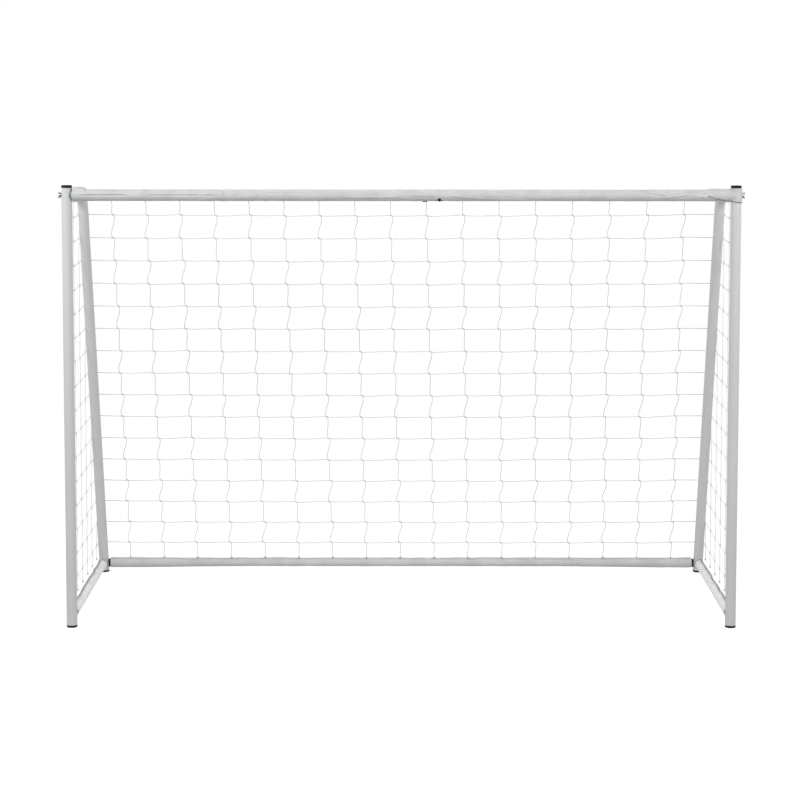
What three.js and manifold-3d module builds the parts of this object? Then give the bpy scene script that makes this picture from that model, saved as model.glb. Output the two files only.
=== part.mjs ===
// A junior soccer goal: a tubular steel frame that plugs and bolts together, with a knotted net.
// Millimetres. X runs along the goal line, Y back into the goal, Z up.
// The origin is on the ground, at the middle of the goal's width and depth.

import * as THREE from "three";
import { mergeVertices } from "three/addons/utils/BufferGeometryUtils.js";
import Module from "manifold-3d";

const wasm = await Module();
wasm.setup();

// Overall frame.
const GOAL_WIDTH = 2400;
const POST_TOP = 1577;
const FIT = 0.3;
const TUBE_WALL = 1.2;
const TUBE_SIDES = 24;
const SMALL_SIDES = 20;
const HOLE_SIDES = 12;

// Big tube: posts, crossbar and back stays. Small tube: the bars on the ground.
const POST_RADIUS = 19;
const BAR_RADIUS = 12.5;
const POST_BORE = POST_RADIUS - TUBE_WALL;
const BAR_BORE = BAR_RADIUS - TUBE_WALL;
const POST_X = GOAL_WIDTH / 2 - POST_RADIUS;

// Heights of the bars' axes, and the back stay's line, as depths behind the posts' axis.
const CROSSBAR_Z = 1551;
const GROUND_BAR_Z = 38;
const ARM_Z = 1547;
const ELBOW_DEPTH = 377;
const ELBOW_Z = 1521;
const STAY_DEPTH = 857;
const BEND_RADIUS = 70;
const BEND_STEPS = 8;
const STAY_LEAN = Math.atan2(STAY_DEPTH - ELBOW_DEPTH, ELBOW_Z);
const ARM_SLOPE = Math.atan2(ARM_Z - ELBOW_Z, ELBOW_DEPTH);
const STAY_HALF_FOOT = POST_RADIUS / Math.cos(STAY_LEAN);

// Net and its sleeves.
const NET_THICKNESS = 1.5;
const NET_GAP = 0.8;
const NET_BOTTOM = 60;
const NET_FRONT = 26;
const SLEEVE_CLEARANCE = 0.8;
const SLEEVE_THICKNESS = 1.4;
const CROSSBAR_SLEEVE_HALF = 1150;
const REAR_SLEEVE_HALF = 1148;
const SIDE_SLEEVE_FRONT = 62;
const SIDE_SLEEVE_BACK = 812;
const SLEEVE_EYELET = 8;

// The crossbar's sleeve is the frontmost part and the stay's foot is the rearmost.
const FRONT_REACH = POST_RADIUS + SLEEVE_CLEARANCE + SLEEVE_THICKNESS;
const OVERALL_DEPTH = FRONT_REACH + STAY_DEPTH + STAY_HALF_FOOT;
const POST_Y = FRONT_REACH - OVERALL_DEPTH / 2;

// Plastic ends.
const CAP_HEAD = 9;
const FOOT_HEAD = 8;
const PLUG_LENGTH = 15;
const EDGE_ROUND = 2;

// Spigots that the tubes slide over, and the screws that lock them.
const SPIGOT_LENGTH = 80;
const SPIGOT_WALL = 1.5;
const ARM_SPIGOT_RADIUS = POST_BORE - FIT;
const BAR_SPIGOT_RADIUS = BAR_BORE - FIT;
const SCREW_RADIUS = 3;
const SCREW_HOLE = 3.4;
const SCREW_HEAD_RADIUS = 5.5;
const SCREW_HEAD = 3;
const SCREW_LENGTH = 9;
const ARM_SCREW_DEPTH = 67;
const SIDE_SCREW_DEPTH = 44;

// Crossbar joint.
const JOINT_X = 108;
const JOINER_HALF = 78;
const JOINER_RADIUS = POST_BORE - FIT;
const BUTTON_RADIUS = 4;
const BUTTON_HOLE = 4.5;
const BUTTON_REACH = 22.8;
const BUTTON_FLANGE_RADIUS = 6;
const BUTTON_FLANGE_TOP = 14;
const BUTTON_FLANGE = 1.2;
const BUTTON_OFFSET = 26;
const BUTTONS = [
  { name: "left", side: -1, below: THREE.MathUtils.degToRad(90) },
  { name: "right", side: 1, below: THREE.MathUtils.degToRad(47) },
];
const LEAF_WIDTH = 7;
const LEAF_THICKNESS = 0.8;

// Wing bolts through the posts.
const BOLT_RADIUS = 4;
const BOLT_HOLE = 4.4;
const BOLT_LENGTH = 64;
const WASHER_RADIUS = 8.5;
const WASHER = 1.6;
const HUB_RADIUS = 6;
const HUB = 5;
const WING_REACH = 11.5;
const WING_THICKNESS = 3;
const NUT_PLUG_LENGTH = 34;

// Rear bar.
const REAR_JOINER_HALF = 70;
const COLLAR_RADIUS = 16.5;
const COLLAR = 7;
const REAR_DEPTH = depthOfStay(GROUND_BAR_Z);

const STEEL = { color: 0xb9bcbf, roughness: 0.42, metalness: 0.6 };
const BLACK_PLASTIC = { color: 0x141414, roughness: 0.55, metalness: 0 };
const ZINC = { color: 0x8e9194, roughness: 0.35, metalness: 0.9 };
const BLACK_STEEL = { color: 0x2a2626, roughness: 0.4, metalness: 0.8 };
const GREY_PLASTIC = { color: 0x7d8082, roughness: 0.6, metalness: 0 };
const CORD = { color: 0xf2f2f0, roughness: 0.9, metalness: 0 };
const FABRIC = { color: 0xd4d6d6, roughness: 0.8, metalness: 0 };

const AXIS_X = new THREE.Vector3(1, 0, 0);
const AXIS_Y = new THREE.Vector3(0, 1, 0);
const AXIS_Z = new THREE.Vector3(0, 0, 1);

// Depth of the sloping stay's axis behind the posts, at a height.
function depthOfStay(height) {
  return STAY_DEPTH - height * Math.tan(STAY_LEAN);
}

function vector(x, y, z) {
  return new THREE.Vector3(x, y, z);
}

function mesh(name, geometry, finish) {
  const made = new THREE.Mesh(geometry, new THREE.MeshStandardMaterial(finish));
  made.name = name;
  return made;
}

// Turns and moves a geometry made along +Y so that it starts at a point and runs along a direction.
function aim(geometry, start, direction) {
  const turn = new THREE.Quaternion().setFromUnitVectors(AXIS_Y, direction.clone().normalize());
  return geometry.applyQuaternion(turn).translate(start.x, start.y, start.z);
}

// A solid round bar from a point along a direction.
function rod(radius, start, direction, length, sides = TUBE_SIDES) {
  const bar = new THREE.CylinderGeometry(radius, radius, length, sides).translate(0, length / 2, 0);
  return aim(bar, start, direction);
}

// A ring of constant section, revolved about +Y from 0 to its length.
function ring(outer, inner, length, sides = TUBE_SIDES) {
  const corners = [
    [inner, 0],
    [outer, 0],
    [outer, length],
    [inner, length],
    [inner, 0],
  ];
  return new THREE.LatheGeometry(corners.map(([r, y]) => new THREE.Vector2(r, y)), sides);
}

// A straight tube from a point along a direction.
function pipe(outer, wall, start, direction, length, sides = TUBE_SIDES) {
  return aim(ring(outer, outer - wall, length, sides), start, direction);
}

// A solid of revolution about +Y, from [radius, height] corners listed upwards from axis to axis.
function turned(corners, sides = TUBE_SIDES) {
  return new THREE.LatheGeometry(corners.map(([r, y]) => new THREE.Vector2(r, y)), sides);
}

function solid(geometry) {
  const bare = geometry.clone();
  bare.deleteAttribute("normal");
  bare.deleteAttribute("uv");
  const merged = mergeVertices(bare, 1e-4);
  return new wasm.Manifold(
    new wasm.Mesh({
      numProp: 3,
      vertProperties: new Float32Array(merged.attributes.position.array),
      triVerts: new Uint32Array(merged.index.array),
    }),
  );
}

function geometryOf(body) {
  const { vertProperties, triVerts } = body.getMesh();
  const shared = new THREE.BufferGeometry();
  shared.setAttribute("position", new THREE.BufferAttribute(vertProperties, 3));
  shared.setIndex(new THREE.BufferAttribute(triVerts, 1));
  const faceted = shared.toNonIndexed();
  faceted.computeVertexNormals();
  return faceted;
}

// The first geometry with the others cut out of it.
function cut(geometry, ...cutters) {
  return geometryOf(cutters.reduce((left, cutter) => left.subtract(solid(cutter)), solid(geometry)));
}

// All the geometries as one solid.
function joined(...geometries) {
  return geometryOf(geometries.map(solid).reduce((sum, next) => sum.add(next)));
}

// ---- Cutters in a side's own frame, whose origin is on the ground under the post's axis ----

function postSpace() {
  return rod(POST_RADIUS + FIT, vector(0, 0, -10), AXIS_Z, POST_TOP + 20);
}

function staySpace() {
  const foot = vector(0, STAY_DEPTH, 0);
  return rod(POST_RADIUS + FIT, foot.addScaledVector(legDirection(), -50), legDirection(), 400);
}

function crossbarSpace(side) {
  return rod(POST_RADIUS + FIT, vector(0, 0, CROSSBAR_Z), vector(-side, 0, 0), 60);
}

// The leg's axis, pointing up.
function legDirection() {
  return vector(0, -Math.sin(STAY_LEAN), Math.cos(STAY_LEAN));
}

// The top arm's axis, pointing back.
function armDirection() {
  return vector(0, Math.cos(ARM_SLOPE), -Math.sin(ARM_SLOPE));
}

// ---- Posts ----

function post(name) {
  const height = POST_TOP - FOOT_HEAD - FIT;
  const tube = pipe(POST_RADIUS, TUBE_WALL, vector(0, 0, FOOT_HEAD + FIT), AXIS_Z, height);
  const reach = POST_RADIUS + 5;
  const boltHole = rod(BOLT_HOLE, vector(-reach, 0, CROSSBAR_Z), AXIS_X, 2 * reach, HOLE_SIDES);
  return mesh(name, cut(tube, boltHole), STEEL);
}

// A plug with a head that covers the tube's end; +Y points out of the tube.
function endCap(head, plug) {
  return turned([
    [0, -plug],
    [POST_BORE - FIT - EDGE_ROUND, -plug],
    [POST_BORE - FIT, -plug + EDGE_ROUND],
    [POST_BORE - FIT, 0],
    [POST_RADIUS, 0],
    [POST_RADIUS, head - EDGE_ROUND],
    [POST_RADIUS - EDGE_ROUND, head],
    [0, head],
  ]);
}

function postCap(name) {
  const cap = mesh(name, endCap(CAP_HEAD - FIT, PLUG_LENGTH), BLACK_PLASTIC);
  cap.position.z = POST_TOP + FIT;
  cap.rotation.x = Math.PI / 2;
  return cap;
}

function postFoot(name) {
  const foot = mesh(name, endCap(FOOT_HEAD, PLUG_LENGTH), BLACK_PLASTIC);
  foot.position.z = FOOT_HEAD;
  foot.rotation.x = -Math.PI / 2;
  return foot;
}

// ---- Back stays: top arm, elbow and sloping leg in one bent tube ----

// A quarter-like bend in the YZ plane, from one angle to another about a centre.
class Elbow extends THREE.Curve {
  constructor(centre, radius, from, to) {
    super();
    Object.assign(this, { centre, radius, from, to });
  }

  getPoint(t) {
    const angle = this.from + (this.to - this.from) * t;
    const { y, z } = this.centre;
    return vector(0, y + this.radius * Math.cos(angle), z + this.radius * Math.sin(angle));
  }

  getTangent(t) {
    const angle = this.from + (this.to - this.from) * t;
    const way = Math.sign(this.to - this.from);
    return vector(0, -Math.sin(angle) * way, Math.cos(angle) * way);
  }
}

function ringSection() {
  const section = new THREE.Shape().absarc(0, 0, POST_RADIUS, 0, 2 * Math.PI);
  section.holes.push(new THREE.Path().absarc(0, 0, POST_BORE, 0, 2 * Math.PI, true));
  return section;
}

function swept(path, steps) {
  const settings = { steps, bevelEnabled: false, curveSegments: TUBE_SIDES / 2, extrudePath: path };
  return new THREE.ExtrudeGeometry(ringSection(), settings);
}

function stayTube() {
  const corner = vector(0, ELBOW_DEPTH, ELBOW_Z);
  const turn = Math.PI / 2 - STAY_LEAN - ARM_SLOPE;
  const tangent = BEND_RADIUS * Math.tan(turn / 2);
  const armEnd = corner.clone().addScaledVector(armDirection(), -tangent);
  const legTop = corner.clone().addScaledVector(legDirection(), -tangent);
  const from = Math.PI / 2 - ARM_SLOPE;
  const centre = vector(0, Math.cos(from), Math.sin(from)).multiplyScalar(-BEND_RADIUS).add(armEnd);
  const armStart = armEnd.clone().addScaledVector(armDirection(), -armEnd.y);
  const legEnd = vector(0, STAY_DEPTH, 0).addScaledVector(legDirection(), -20);
  return joined(
    swept(new THREE.LineCurve3(armStart, armEnd), 1),
    swept(new Elbow(centre, BEND_RADIUS, from, from - turn), BEND_STEPS),
    swept(new THREE.LineCurve3(legTop, legEnd), 1),
  );
}

function groundSlab(height) {
  return new THREE.BoxGeometry(200, 400, 100).translate(0, STAY_DEPTH, height - 50);
}

function armScrewPlace() {
  const onAxis = vector(0, 0, ARM_Z).addScaledVector(armDirection(), ARM_SCREW_DEPTH);
  const down = vector(0, -Math.sin(ARM_SLOPE), -Math.cos(ARM_SLOPE));
  return { onAxis, down };
}

function armScrewHole() {
  const { onAxis, down } = armScrewPlace();
  return rod(SCREW_HOLE, onAxis, down, POST_RADIUS + 5, HOLE_SIDES);
}

function backStay(name, side) {
  const spaces = [postSpace(), crossbarSpace(side), groundSlab(FOOT_HEAD + FIT), armScrewHole()];
  return mesh(name, cut(stayTube(), ...spaces), STEEL);
}

// The foot's head is a slice of the sloping leg, level above and below; its plug runs up the bore.
function stayFoot(name) {
  const start = vector(0, STAY_DEPTH, 0).addScaledVector(legDirection(), -20);
  const slice = solid(rod(POST_RADIUS, start, legDirection(), 60));
  const slab = solid(new THREE.BoxGeometry(100, 200, FOOT_HEAD).translate(0, STAY_DEPTH, FOOT_HEAD / 2));
  const plug = solid(rod(POST_BORE - FIT, start, legDirection(), 45));
  const foot = slice.intersect(slab).add(plug.subtract(solid(groundSlab(FOOT_HEAD / 2))));
  return mesh(name, geometryOf(foot), BLACK_PLASTIC);
}

function armSpigot(name, side) {
  const start = vector(0, 0, ARM_Z);
  const tube = pipe(ARM_SPIGOT_RADIUS, SPIGOT_WALL, start, armDirection(), SPIGOT_LENGTH + POST_RADIUS);
  return mesh(name, cut(tube, postSpace(), crossbarSpace(side), armScrewHole()), STEEL);
}

// A pan-head screw along +Y with its head's underside at 0 and its head towards +Y.
function panScrew() {
  return turned([
    [0, -SCREW_LENGTH],
    [SCREW_RADIUS, -SCREW_LENGTH],
    [SCREW_RADIUS, 0],
    [SCREW_HEAD_RADIUS, 0],
    [SCREW_HEAD_RADIUS, SCREW_HEAD * 0.5],
    [SCREW_HEAD_RADIUS * 0.7, SCREW_HEAD],
    [0, SCREW_HEAD],
  ], HOLE_SIDES);
}

function armScrew(name) {
  const { onAxis, down } = armScrewPlace();
  const seat = onAxis.addScaledVector(down, POST_RADIUS + FIT);
  return mesh(name, aim(panScrew(), seat, down), ZINC);
}

// ---- Ground bars along the sides ----

function sideScrewHole(side) {
  const start = vector(0, SIDE_SCREW_DEPTH, GROUND_BAR_Z);
  return rod(SCREW_HOLE, start, vector(side, 0, 0), BAR_RADIUS + 5, HOLE_SIDES);
}

function sideBar(name, side) {
  const tube = pipe(BAR_RADIUS, TUBE_WALL, vector(0, 5, GROUND_BAR_Z), AXIS_Y, REAR_DEPTH - 10, SMALL_SIDES);
  return mesh(name, cut(tube, postSpace(), staySpace(), sideScrewHole(side)), STEEL);
}

function frontSpigot(name, side) {
  const length = SPIGOT_LENGTH + POST_RADIUS - 5;
  const start = vector(0, 5, GROUND_BAR_Z);
  const tube = pipe(BAR_SPIGOT_RADIUS, SPIGOT_WALL, start, AXIS_Y, length, SMALL_SIDES);
  return mesh(name, cut(tube, postSpace(), sideScrewHole(side)), STEEL);
}

function cornerSpigot(name, direction) {
  const start = vector(0, REAR_DEPTH, GROUND_BAR_Z).addScaledVector(direction, 5);
  const tube = pipe(BAR_SPIGOT_RADIUS, SPIGOT_WALL, start, direction, SPIGOT_LENGTH, SMALL_SIDES);
  return mesh(name, cut(tube, staySpace()), STEEL);
}

function sideScrew(name, side) {
  const seat = vector(side * (BAR_RADIUS + FIT), SIDE_SCREW_DEPTH, GROUND_BAR_Z);
  return mesh(name, aim(panScrew(), seat, vector(side, 0, 0)), ZINC);
}

function cornerCollar(name, side) {
  const collar = mesh(name, ring(COLLAR_RADIUS, BAR_RADIUS + FIT, COLLAR, SMALL_SIDES), BLACK_PLASTIC);
  collar.position.set(-side * (POST_RADIUS + 2 * FIT), REAR_DEPTH, GROUND_BAR_Z);
  collar.rotation.z = side * Math.PI / 2;
  return collar;
}

// ---- Wing bolts at the top corners ----

// One wing's outline: x along the bolt, y away from its axis.
function wingOutline() {
  const outline = new THREE.Shape();
  outline.moveTo(0.8, 2);
  outline.lineTo(0.8, HUB_RADIUS - 0.5);
  outline.quadraticCurveTo(3, WING_REACH, 7, WING_REACH);
  outline.quadraticCurveTo(WING_REACH - 0.5, WING_REACH, WING_REACH - 0.5, 8);
  outline.quadraticCurveTo(WING_REACH - 1, 5.5, HUB + 1.5, 3.2);
  outline.lineTo(HUB - 0.5, 2);
  return outline;
}

// The bolt's head and shank along +X, with the head's underside at 0.
function wingBoltGeometry() {
  const hub = turned([[0, 0], [HUB_RADIUS, 0], [HUB_RADIUS * 0.8, HUB], [0, HUB]], SMALL_SIDES);
  const shank = rod(BOLT_RADIUS, vector(0, 1, 0), vector(0, -1, 0), BOLT_LENGTH + 1, HOLE_SIDES);
  const body = joined(hub, shank).rotateZ(-Math.PI / 2);
  const flat = { depth: WING_THICKNESS, bevelEnabled: false, curveSegments: 5 };
  const wing = new THREE.ExtrudeGeometry(wingOutline(), flat).translate(0, 0, -WING_THICKNESS / 2);
  return joined(body, wing.clone().rotateX(Math.PI / 2), wing.clone().rotateX(-Math.PI / 2));
}

function wingBolt(name, side) {
  const bolt = mesh(name, wingBoltGeometry(), ZINC);
  bolt.position.set(side * (POST_RADIUS + WASHER + 2 * FIT), 0, CROSSBAR_Z);
  bolt.rotation.z = side > 0 ? 0 : Math.PI;
  return bolt;
}

function boltWasher(name, side) {
  const washer = mesh(name, ring(WASHER_RADIUS, BOLT_HOLE, WASHER, HOLE_SIDES), ZINC);
  washer.position.set(side * (POST_RADIUS + FIT), 0, CROSSBAR_Z);
  washer.rotation.z = -side * Math.PI / 2;
  return washer;
}

function nutPlug(name, side) {
  const start = vector(-side * 10, 0, CROSSBAR_Z);
  const inwards = vector(-side, 0, 0);
  const plug = rod(POST_BORE - FIT, start, inwards, NUT_PLUG_LENGTH);
  const bore = rod(BOLT_HOLE, start, inwards, NUT_PLUG_LENGTH + 1, HOLE_SIDES);
  return mesh(name, cut(plug, postSpace(), bore.translate(side * 0.5, 0, 0)), GREY_PLASTIC);
}

// ---- Crossbar, in the goal's own frame ----

// The way a snap button points out of the bar: forward and down.
function buttonDirection(button) {
  return vector(0, -Math.cos(button.below), -Math.sin(button.below));
}

function buttonPlace(button) {
  return vector(JOINT_X + button.side * BUTTON_OFFSET, 0, 0);
}

function buttonHole(button, radius) {
  return rod(radius, buttonPlace(button), buttonDirection(button), 2 * POST_RADIUS, HOLE_SIDES);
}

function postInCrossbar(side) {
  return postSpace().translate(side * POST_X, 0, -CROSSBAR_Z);
}

function crossbarHalf(name, side) {
  const near = vector(JOINT_X + side * FIT / 2, 0, 0);
  const length = POST_X - side * JOINT_X;
  const tube = pipe(POST_RADIUS, TUBE_WALL, near, vector(side, 0, 0), length);
  const button = BUTTONS.find((one) => one.side === side);
  return mesh(name, cut(tube, postInCrossbar(side), buttonHole(button, BUTTON_HOLE)), STEEL);
}

function crossbarJoiner(name) {
  const start = vector(JOINT_X - JOINER_HALF, 0, 0);
  const tube = pipe(JOINER_RADIUS, SPIGOT_WALL, start, AXIS_X, 2 * JOINER_HALF);
  return mesh(name, cut(tube, ...BUTTONS.map((button) => buttonHole(button, BUTTON_HOLE))), STEEL);
}

function snapButton(name, button) {
  const flange = BUTTON_FLANGE_TOP - BUTTON_FLANGE;
  const shape = turned([
    [0, flange],
    [BUTTON_FLANGE_RADIUS, flange],
    [BUTTON_FLANGE_RADIUS, BUTTON_FLANGE_TOP],
    [BUTTON_RADIUS, BUTTON_FLANGE_TOP],
    [BUTTON_RADIUS, BUTTON_REACH - 1.5],
    [BUTTON_RADIUS * 0.6, BUTTON_REACH - 0.3],
    [0, BUTTON_REACH],
  ], HOLE_SIDES);
  return mesh(name, aim(shape, buttonPlace(button), buttonDirection(button)), BLACK_STEEL);
}

// A hairpin leaf under the button, bent from one strip, its closed end away from the joint.
function buttonLeaf(name, button) {
  const top = BUTTON_FLANGE_TOP - BUTTON_FLANGE - FIT - LEAF_THICKNESS / 2;
  const across = button.side;
  const path = new THREE.CatmullRomCurve3([
    vector(-across * 6, top, 0),
    vector(across * 8, top, 0),
    vector(across * 26, top * 0.7, 0),
    vector(across * 38, top * 0.12, 0),
    vector(across * 28, -top * 0.4, 0),
    vector(across * 6, -top * 0.62, 0),
  ]);
  const strip = new THREE.Shape();
  strip.moveTo(-LEAF_WIDTH / 2, -LEAF_THICKNESS / 2);
  strip.lineTo(LEAF_WIDTH / 2, -LEAF_THICKNESS / 2);
  strip.lineTo(LEAF_WIDTH / 2, LEAF_THICKNESS / 2);
  strip.lineTo(-LEAF_WIDTH / 2, LEAF_THICKNESS / 2);
  const settings = { steps: 18, bevelEnabled: false, extrudePath: path };
  const leaf = mesh(name, new THREE.ExtrudeGeometry(strip, settings), ZINC);
  leaf.position.copy(buttonPlace(button));
  leaf.rotation.x = -Math.PI / 2 - (Math.PI / 2 - button.below);
  return leaf;
}

// ---- Rear bar ----

function stayInRearBar(side) {
  return staySpace().translate(side * POST_X, -REAR_DEPTH, -GROUND_BAR_Z);
}

function rearBarHalf(name, side) {
  const start = vector(side * FIT / 2, 0, 0);
  const tube = pipe(BAR_RADIUS, TUBE_WALL, start, vector(side, 0, 0), POST_X, SMALL_SIDES);
  return mesh(name, cut(tube, stayInRearBar(side)), STEEL);
}

function rearBarJoiner(name) {
  const start = vector(-REAR_JOINER_HALF, 0, 0);
  const tube = pipe(BAR_SPIGOT_RADIUS, SPIGOT_WALL, start, AXIS_X, 2 * REAR_JOINER_HALF, SMALL_SIDES);
  return mesh(name, tube, STEEL);
}

// ---- Net panels and sleeves ----

function sleeveSkin(barRadius, start, direction, length, sides) {
  const outer = barRadius + SLEEVE_CLEARANCE + SLEEVE_THICKNESS;
  return pipe(outer, SLEEVE_THICKNESS, start, direction, length, sides);
}

function crossbarSleeve(name) {
  const start = vector(-CROSSBAR_SLEEVE_HALF, 0, 0);
  const skin = sleeveSkin(POST_RADIUS, start, AXIS_X, 2 * CROSSBAR_SLEEVE_HALF, TUBE_SIDES);
  return mesh(name, cut(skin, ...BUTTONS.map((button) => buttonHole(button, SLEEVE_EYELET))), FABRIC);
}

function rearSleeve(name) {
  const start = vector(-REAR_SLEEVE_HALF, 0, 0);
  return mesh(name, sleeveSkin(BAR_RADIUS, start, AXIS_X, 2 * REAR_SLEEVE_HALF, SMALL_SIDES), FABRIC);
}

function sideSleeve(name) {
  const start = vector(0, SIDE_SLEEVE_FRONT, GROUND_BAR_Z);
  const length = SIDE_SLEEVE_BACK - SIDE_SLEEVE_FRONT;
  return mesh(name, sleeveSkin(BAR_RADIUS, start, AXIS_Y, length, SMALL_SIDES), FABRIC);
}

// The side panel's outline, in depth and height, inside the line of the frame's axes.
function sideNet(name, side) {
  const armDepth = ELBOW_DEPTH - BEND_RADIUS / 2;
  const outline = new THREE.Shape();
  outline.moveTo(NET_FRONT, NET_BOTTOM);
  outline.lineTo(depthOfStay(NET_BOTTOM), NET_BOTTOM);
  outline.lineTo(depthOfStay(ELBOW_Z - BEND_RADIUS / 2), ELBOW_Z - BEND_RADIUS / 2);
  outline.lineTo(armDepth, ARM_Z - armDepth * Math.tan(ARM_SLOPE));
  outline.lineTo(NET_FRONT, ARM_Z - NET_FRONT * Math.tan(ARM_SLOPE));
  const panel = new THREE.ExtrudeGeometry(outline, { depth: NET_THICKNESS, bevelEnabled: false });
  const inner = POST_RADIUS + NET_GAP;
  const net = mesh(name, panel, CORD);
  net.position.x = side > 0 ? inner : -inner - NET_THICKNESS;
  net.rotation.set(Math.PI / 2, 0, Math.PI / 2, "ZYX");
  return net;
}

// A flat panel across the goal, lying on the outside of the frame between two points of its side view.
function crossPanel(name, from, to) {
  const run = to.clone().sub(from);
  const outward = run.clone().normalize().cross(AXIS_X).negate();
  const offset = POST_RADIUS + NET_GAP + NET_THICKNESS / 2;
  const middle = from.clone().addScaledVector(run, 0.5).addScaledVector(outward, offset);
  const net = mesh(name, new THREE.BoxGeometry(2 * POST_X, run.length(), NET_THICKNESS), CORD);
  net.position.copy(middle);
  net.rotation.x = Math.atan2(run.z, run.y);
  return net;
}

function roofNet(name) {
  const end = ELBOW_DEPTH - BEND_RADIUS;
  const from = vector(0, NET_FRONT, ARM_Z - NET_FRONT * Math.tan(ARM_SLOPE));
  return crossPanel(name, from, vector(0, end, ARM_Z - end * Math.tan(ARM_SLOPE)));
}

function backNet(name) {
  const top = ELBOW_Z - BEND_RADIUS;
  return crossPanel(name, vector(0, depthOfStay(top), top), vector(0, depthOfStay(NET_BOTTOM), NET_BOTTOM));
}

// ---- The whole goal ----

function sideFrame(word, side) {
  const frame = new THREE.Group();
  frame.position.set(side * POST_X, POST_Y, 0);
  frame.add(
    post(`${word}_post`),
    postCap(`${word}_post_cap`),
    postFoot(`${word}_post_foot`),
    backStay(`${word}_back_stay`, side),
    stayFoot(`${word}_stay_foot`),
    armSpigot(`${word}_arm_spigot`, side),
    armScrew(`${word}_arm_screw`),
    sideBar(`${word}_side_bar`, side),
    frontSpigot(`${word}_front_spigot`, side),
    cornerSpigot(`${word}_corner_side_spigot`, vector(0, -1, 0)),
    cornerSpigot(`${word}_corner_rear_spigot`, vector(-side, 0, 0)),
    sideScrew(`${word}_side_screw`, side),
    cornerCollar(`${word}_corner_collar`, side),
    wingBolt(`${word}_wing_bolt`, side),
    boltWasher(`${word}_bolt_washer`, side),
    nutPlug(`${word}_crossbar_nut_plug`, side),
    sideSleeve(`${word}_side_sleeve`),
    sideNet(`net_${word}`, side),
  );
  return frame;
}

function crossbar() {
  const bar = new THREE.Group();
  bar.position.set(0, POST_Y, CROSSBAR_Z);
  bar.add(
    crossbarHalf("crossbar_left", -1),
    crossbarHalf("crossbar_right", 1),
    crossbarJoiner("crossbar_joiner"),
    crossbarSleeve("crossbar_sleeve"),
  );
  for (const button of BUTTONS) {
    bar.add(snapButton(`crossbar_button_${button.name}`, button));
    bar.add(buttonLeaf(`crossbar_spring_${button.name}`, button));
  }
  return bar;
}

function rearBar() {
  const bar = new THREE.Group();
  bar.position.set(0, POST_Y + REAR_DEPTH, GROUND_BAR_Z);
  bar.add(
    rearBarHalf("rear_bar_left", -1),
    rearBarHalf("rear_bar_right", 1),
    rearBarJoiner("rear_bar_joiner"),
    rearSleeve("rear_bar_sleeve"),
  );
  return bar;
}

function crossNets() {
  const nets = new THREE.Group();
  nets.position.y = POST_Y;
  nets.add(roofNet("net_roof"), backNet("net_back"));
  return nets;
}

const goal = new THREE.Group();
goal.add(sideFrame("left", -1), sideFrame("right", 1), crossbar(), rearBar(), crossNets());

export default goal;
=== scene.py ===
"""Looks of a junior soccer goal: coated tubes, plastic ends, bolts, a knotted net and its sewn sleeves."""

import logging
import math
from collections.abc import Sequence
from dataclasses import dataclass, field
from enum import Enum

import bmesh
import bpy
import numpy as np
from mathutils import Matrix, Vector


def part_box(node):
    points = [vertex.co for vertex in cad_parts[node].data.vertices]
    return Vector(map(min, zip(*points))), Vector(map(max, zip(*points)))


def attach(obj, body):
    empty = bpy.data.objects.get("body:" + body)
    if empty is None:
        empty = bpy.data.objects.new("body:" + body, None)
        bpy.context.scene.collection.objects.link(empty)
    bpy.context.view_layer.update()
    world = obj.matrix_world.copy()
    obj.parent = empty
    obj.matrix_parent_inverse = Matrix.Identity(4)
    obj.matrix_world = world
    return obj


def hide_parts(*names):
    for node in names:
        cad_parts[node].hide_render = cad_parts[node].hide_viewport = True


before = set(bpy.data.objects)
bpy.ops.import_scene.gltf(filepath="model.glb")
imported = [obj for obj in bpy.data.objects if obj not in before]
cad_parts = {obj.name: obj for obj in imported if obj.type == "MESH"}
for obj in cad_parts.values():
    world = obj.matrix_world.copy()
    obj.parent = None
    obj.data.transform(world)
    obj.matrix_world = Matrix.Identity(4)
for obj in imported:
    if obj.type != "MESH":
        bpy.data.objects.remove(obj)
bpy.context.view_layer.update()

LOG = logging.getLogger("goal")
TAU = 2 * math.pi
MM = 0.001
# Where a turned profile starts or ends on its axis.
CENTRE = 0.0001
# The radius at which a sleeve's creases are laid out round its bar.
CREASE_RADIUS = 0.0212
# How far from its cut a coped tube's drawn axis stops.
TUBE_RUN = 0.03
# Points round a post's tube and its plastic ends.
TUBE_SIDES = 56
# Points round a string or a stitch, and round a rope or a hem.
STRING_SIDES = 6
ROPE_SIDES = 8
RIGHT = np.array((1.0, 0.0, 0.0))
BACK = np.array((0.0, 1.0, 0.0))
UP = np.array((0.0, 0.0, 1.0))
Colour = tuple[float, float, float]


class Body(Enum):
    """The moving groups that a piece can ride on."""

    FRAME = "frame"
    LEFT_BOLT = "left_bolt"
    RIGHT_BOLT = "right_bolt"
    LEFT_BUTTON = "left_button"
    RIGHT_BUTTON = "right_button"


class Slot(Enum):
    """The material slots, by name."""

    STEEL = "frame_steel"
    BLACK_PLASTIC = "black_plastic"
    ZINC = "zinc_steel"
    DARK_STEEL = "dark_steel"
    GREY_PLASTIC = "grey_plastic"
    CORD = "net_cord"
    FABRIC = "sleeve_fabric"


class Side(Enum):
    """The two ends of the goal, as seen from the pitch."""

    LEFT = -1
    RIGHT = 1

    @property
    def word(self) -> str:
        """The side's name as node names start with it."""
        return self.name.lower()

    @property
    def out(self) -> np.ndarray:
        """The direction out of the goal on this side."""
        return RIGHT * self.value


class Outline(Enum):
    """The plan shape of one ring of a turned piece."""

    ROUND = "round"
    HEXAGON = "hexagon"


# ---- Finishes ----


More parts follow.
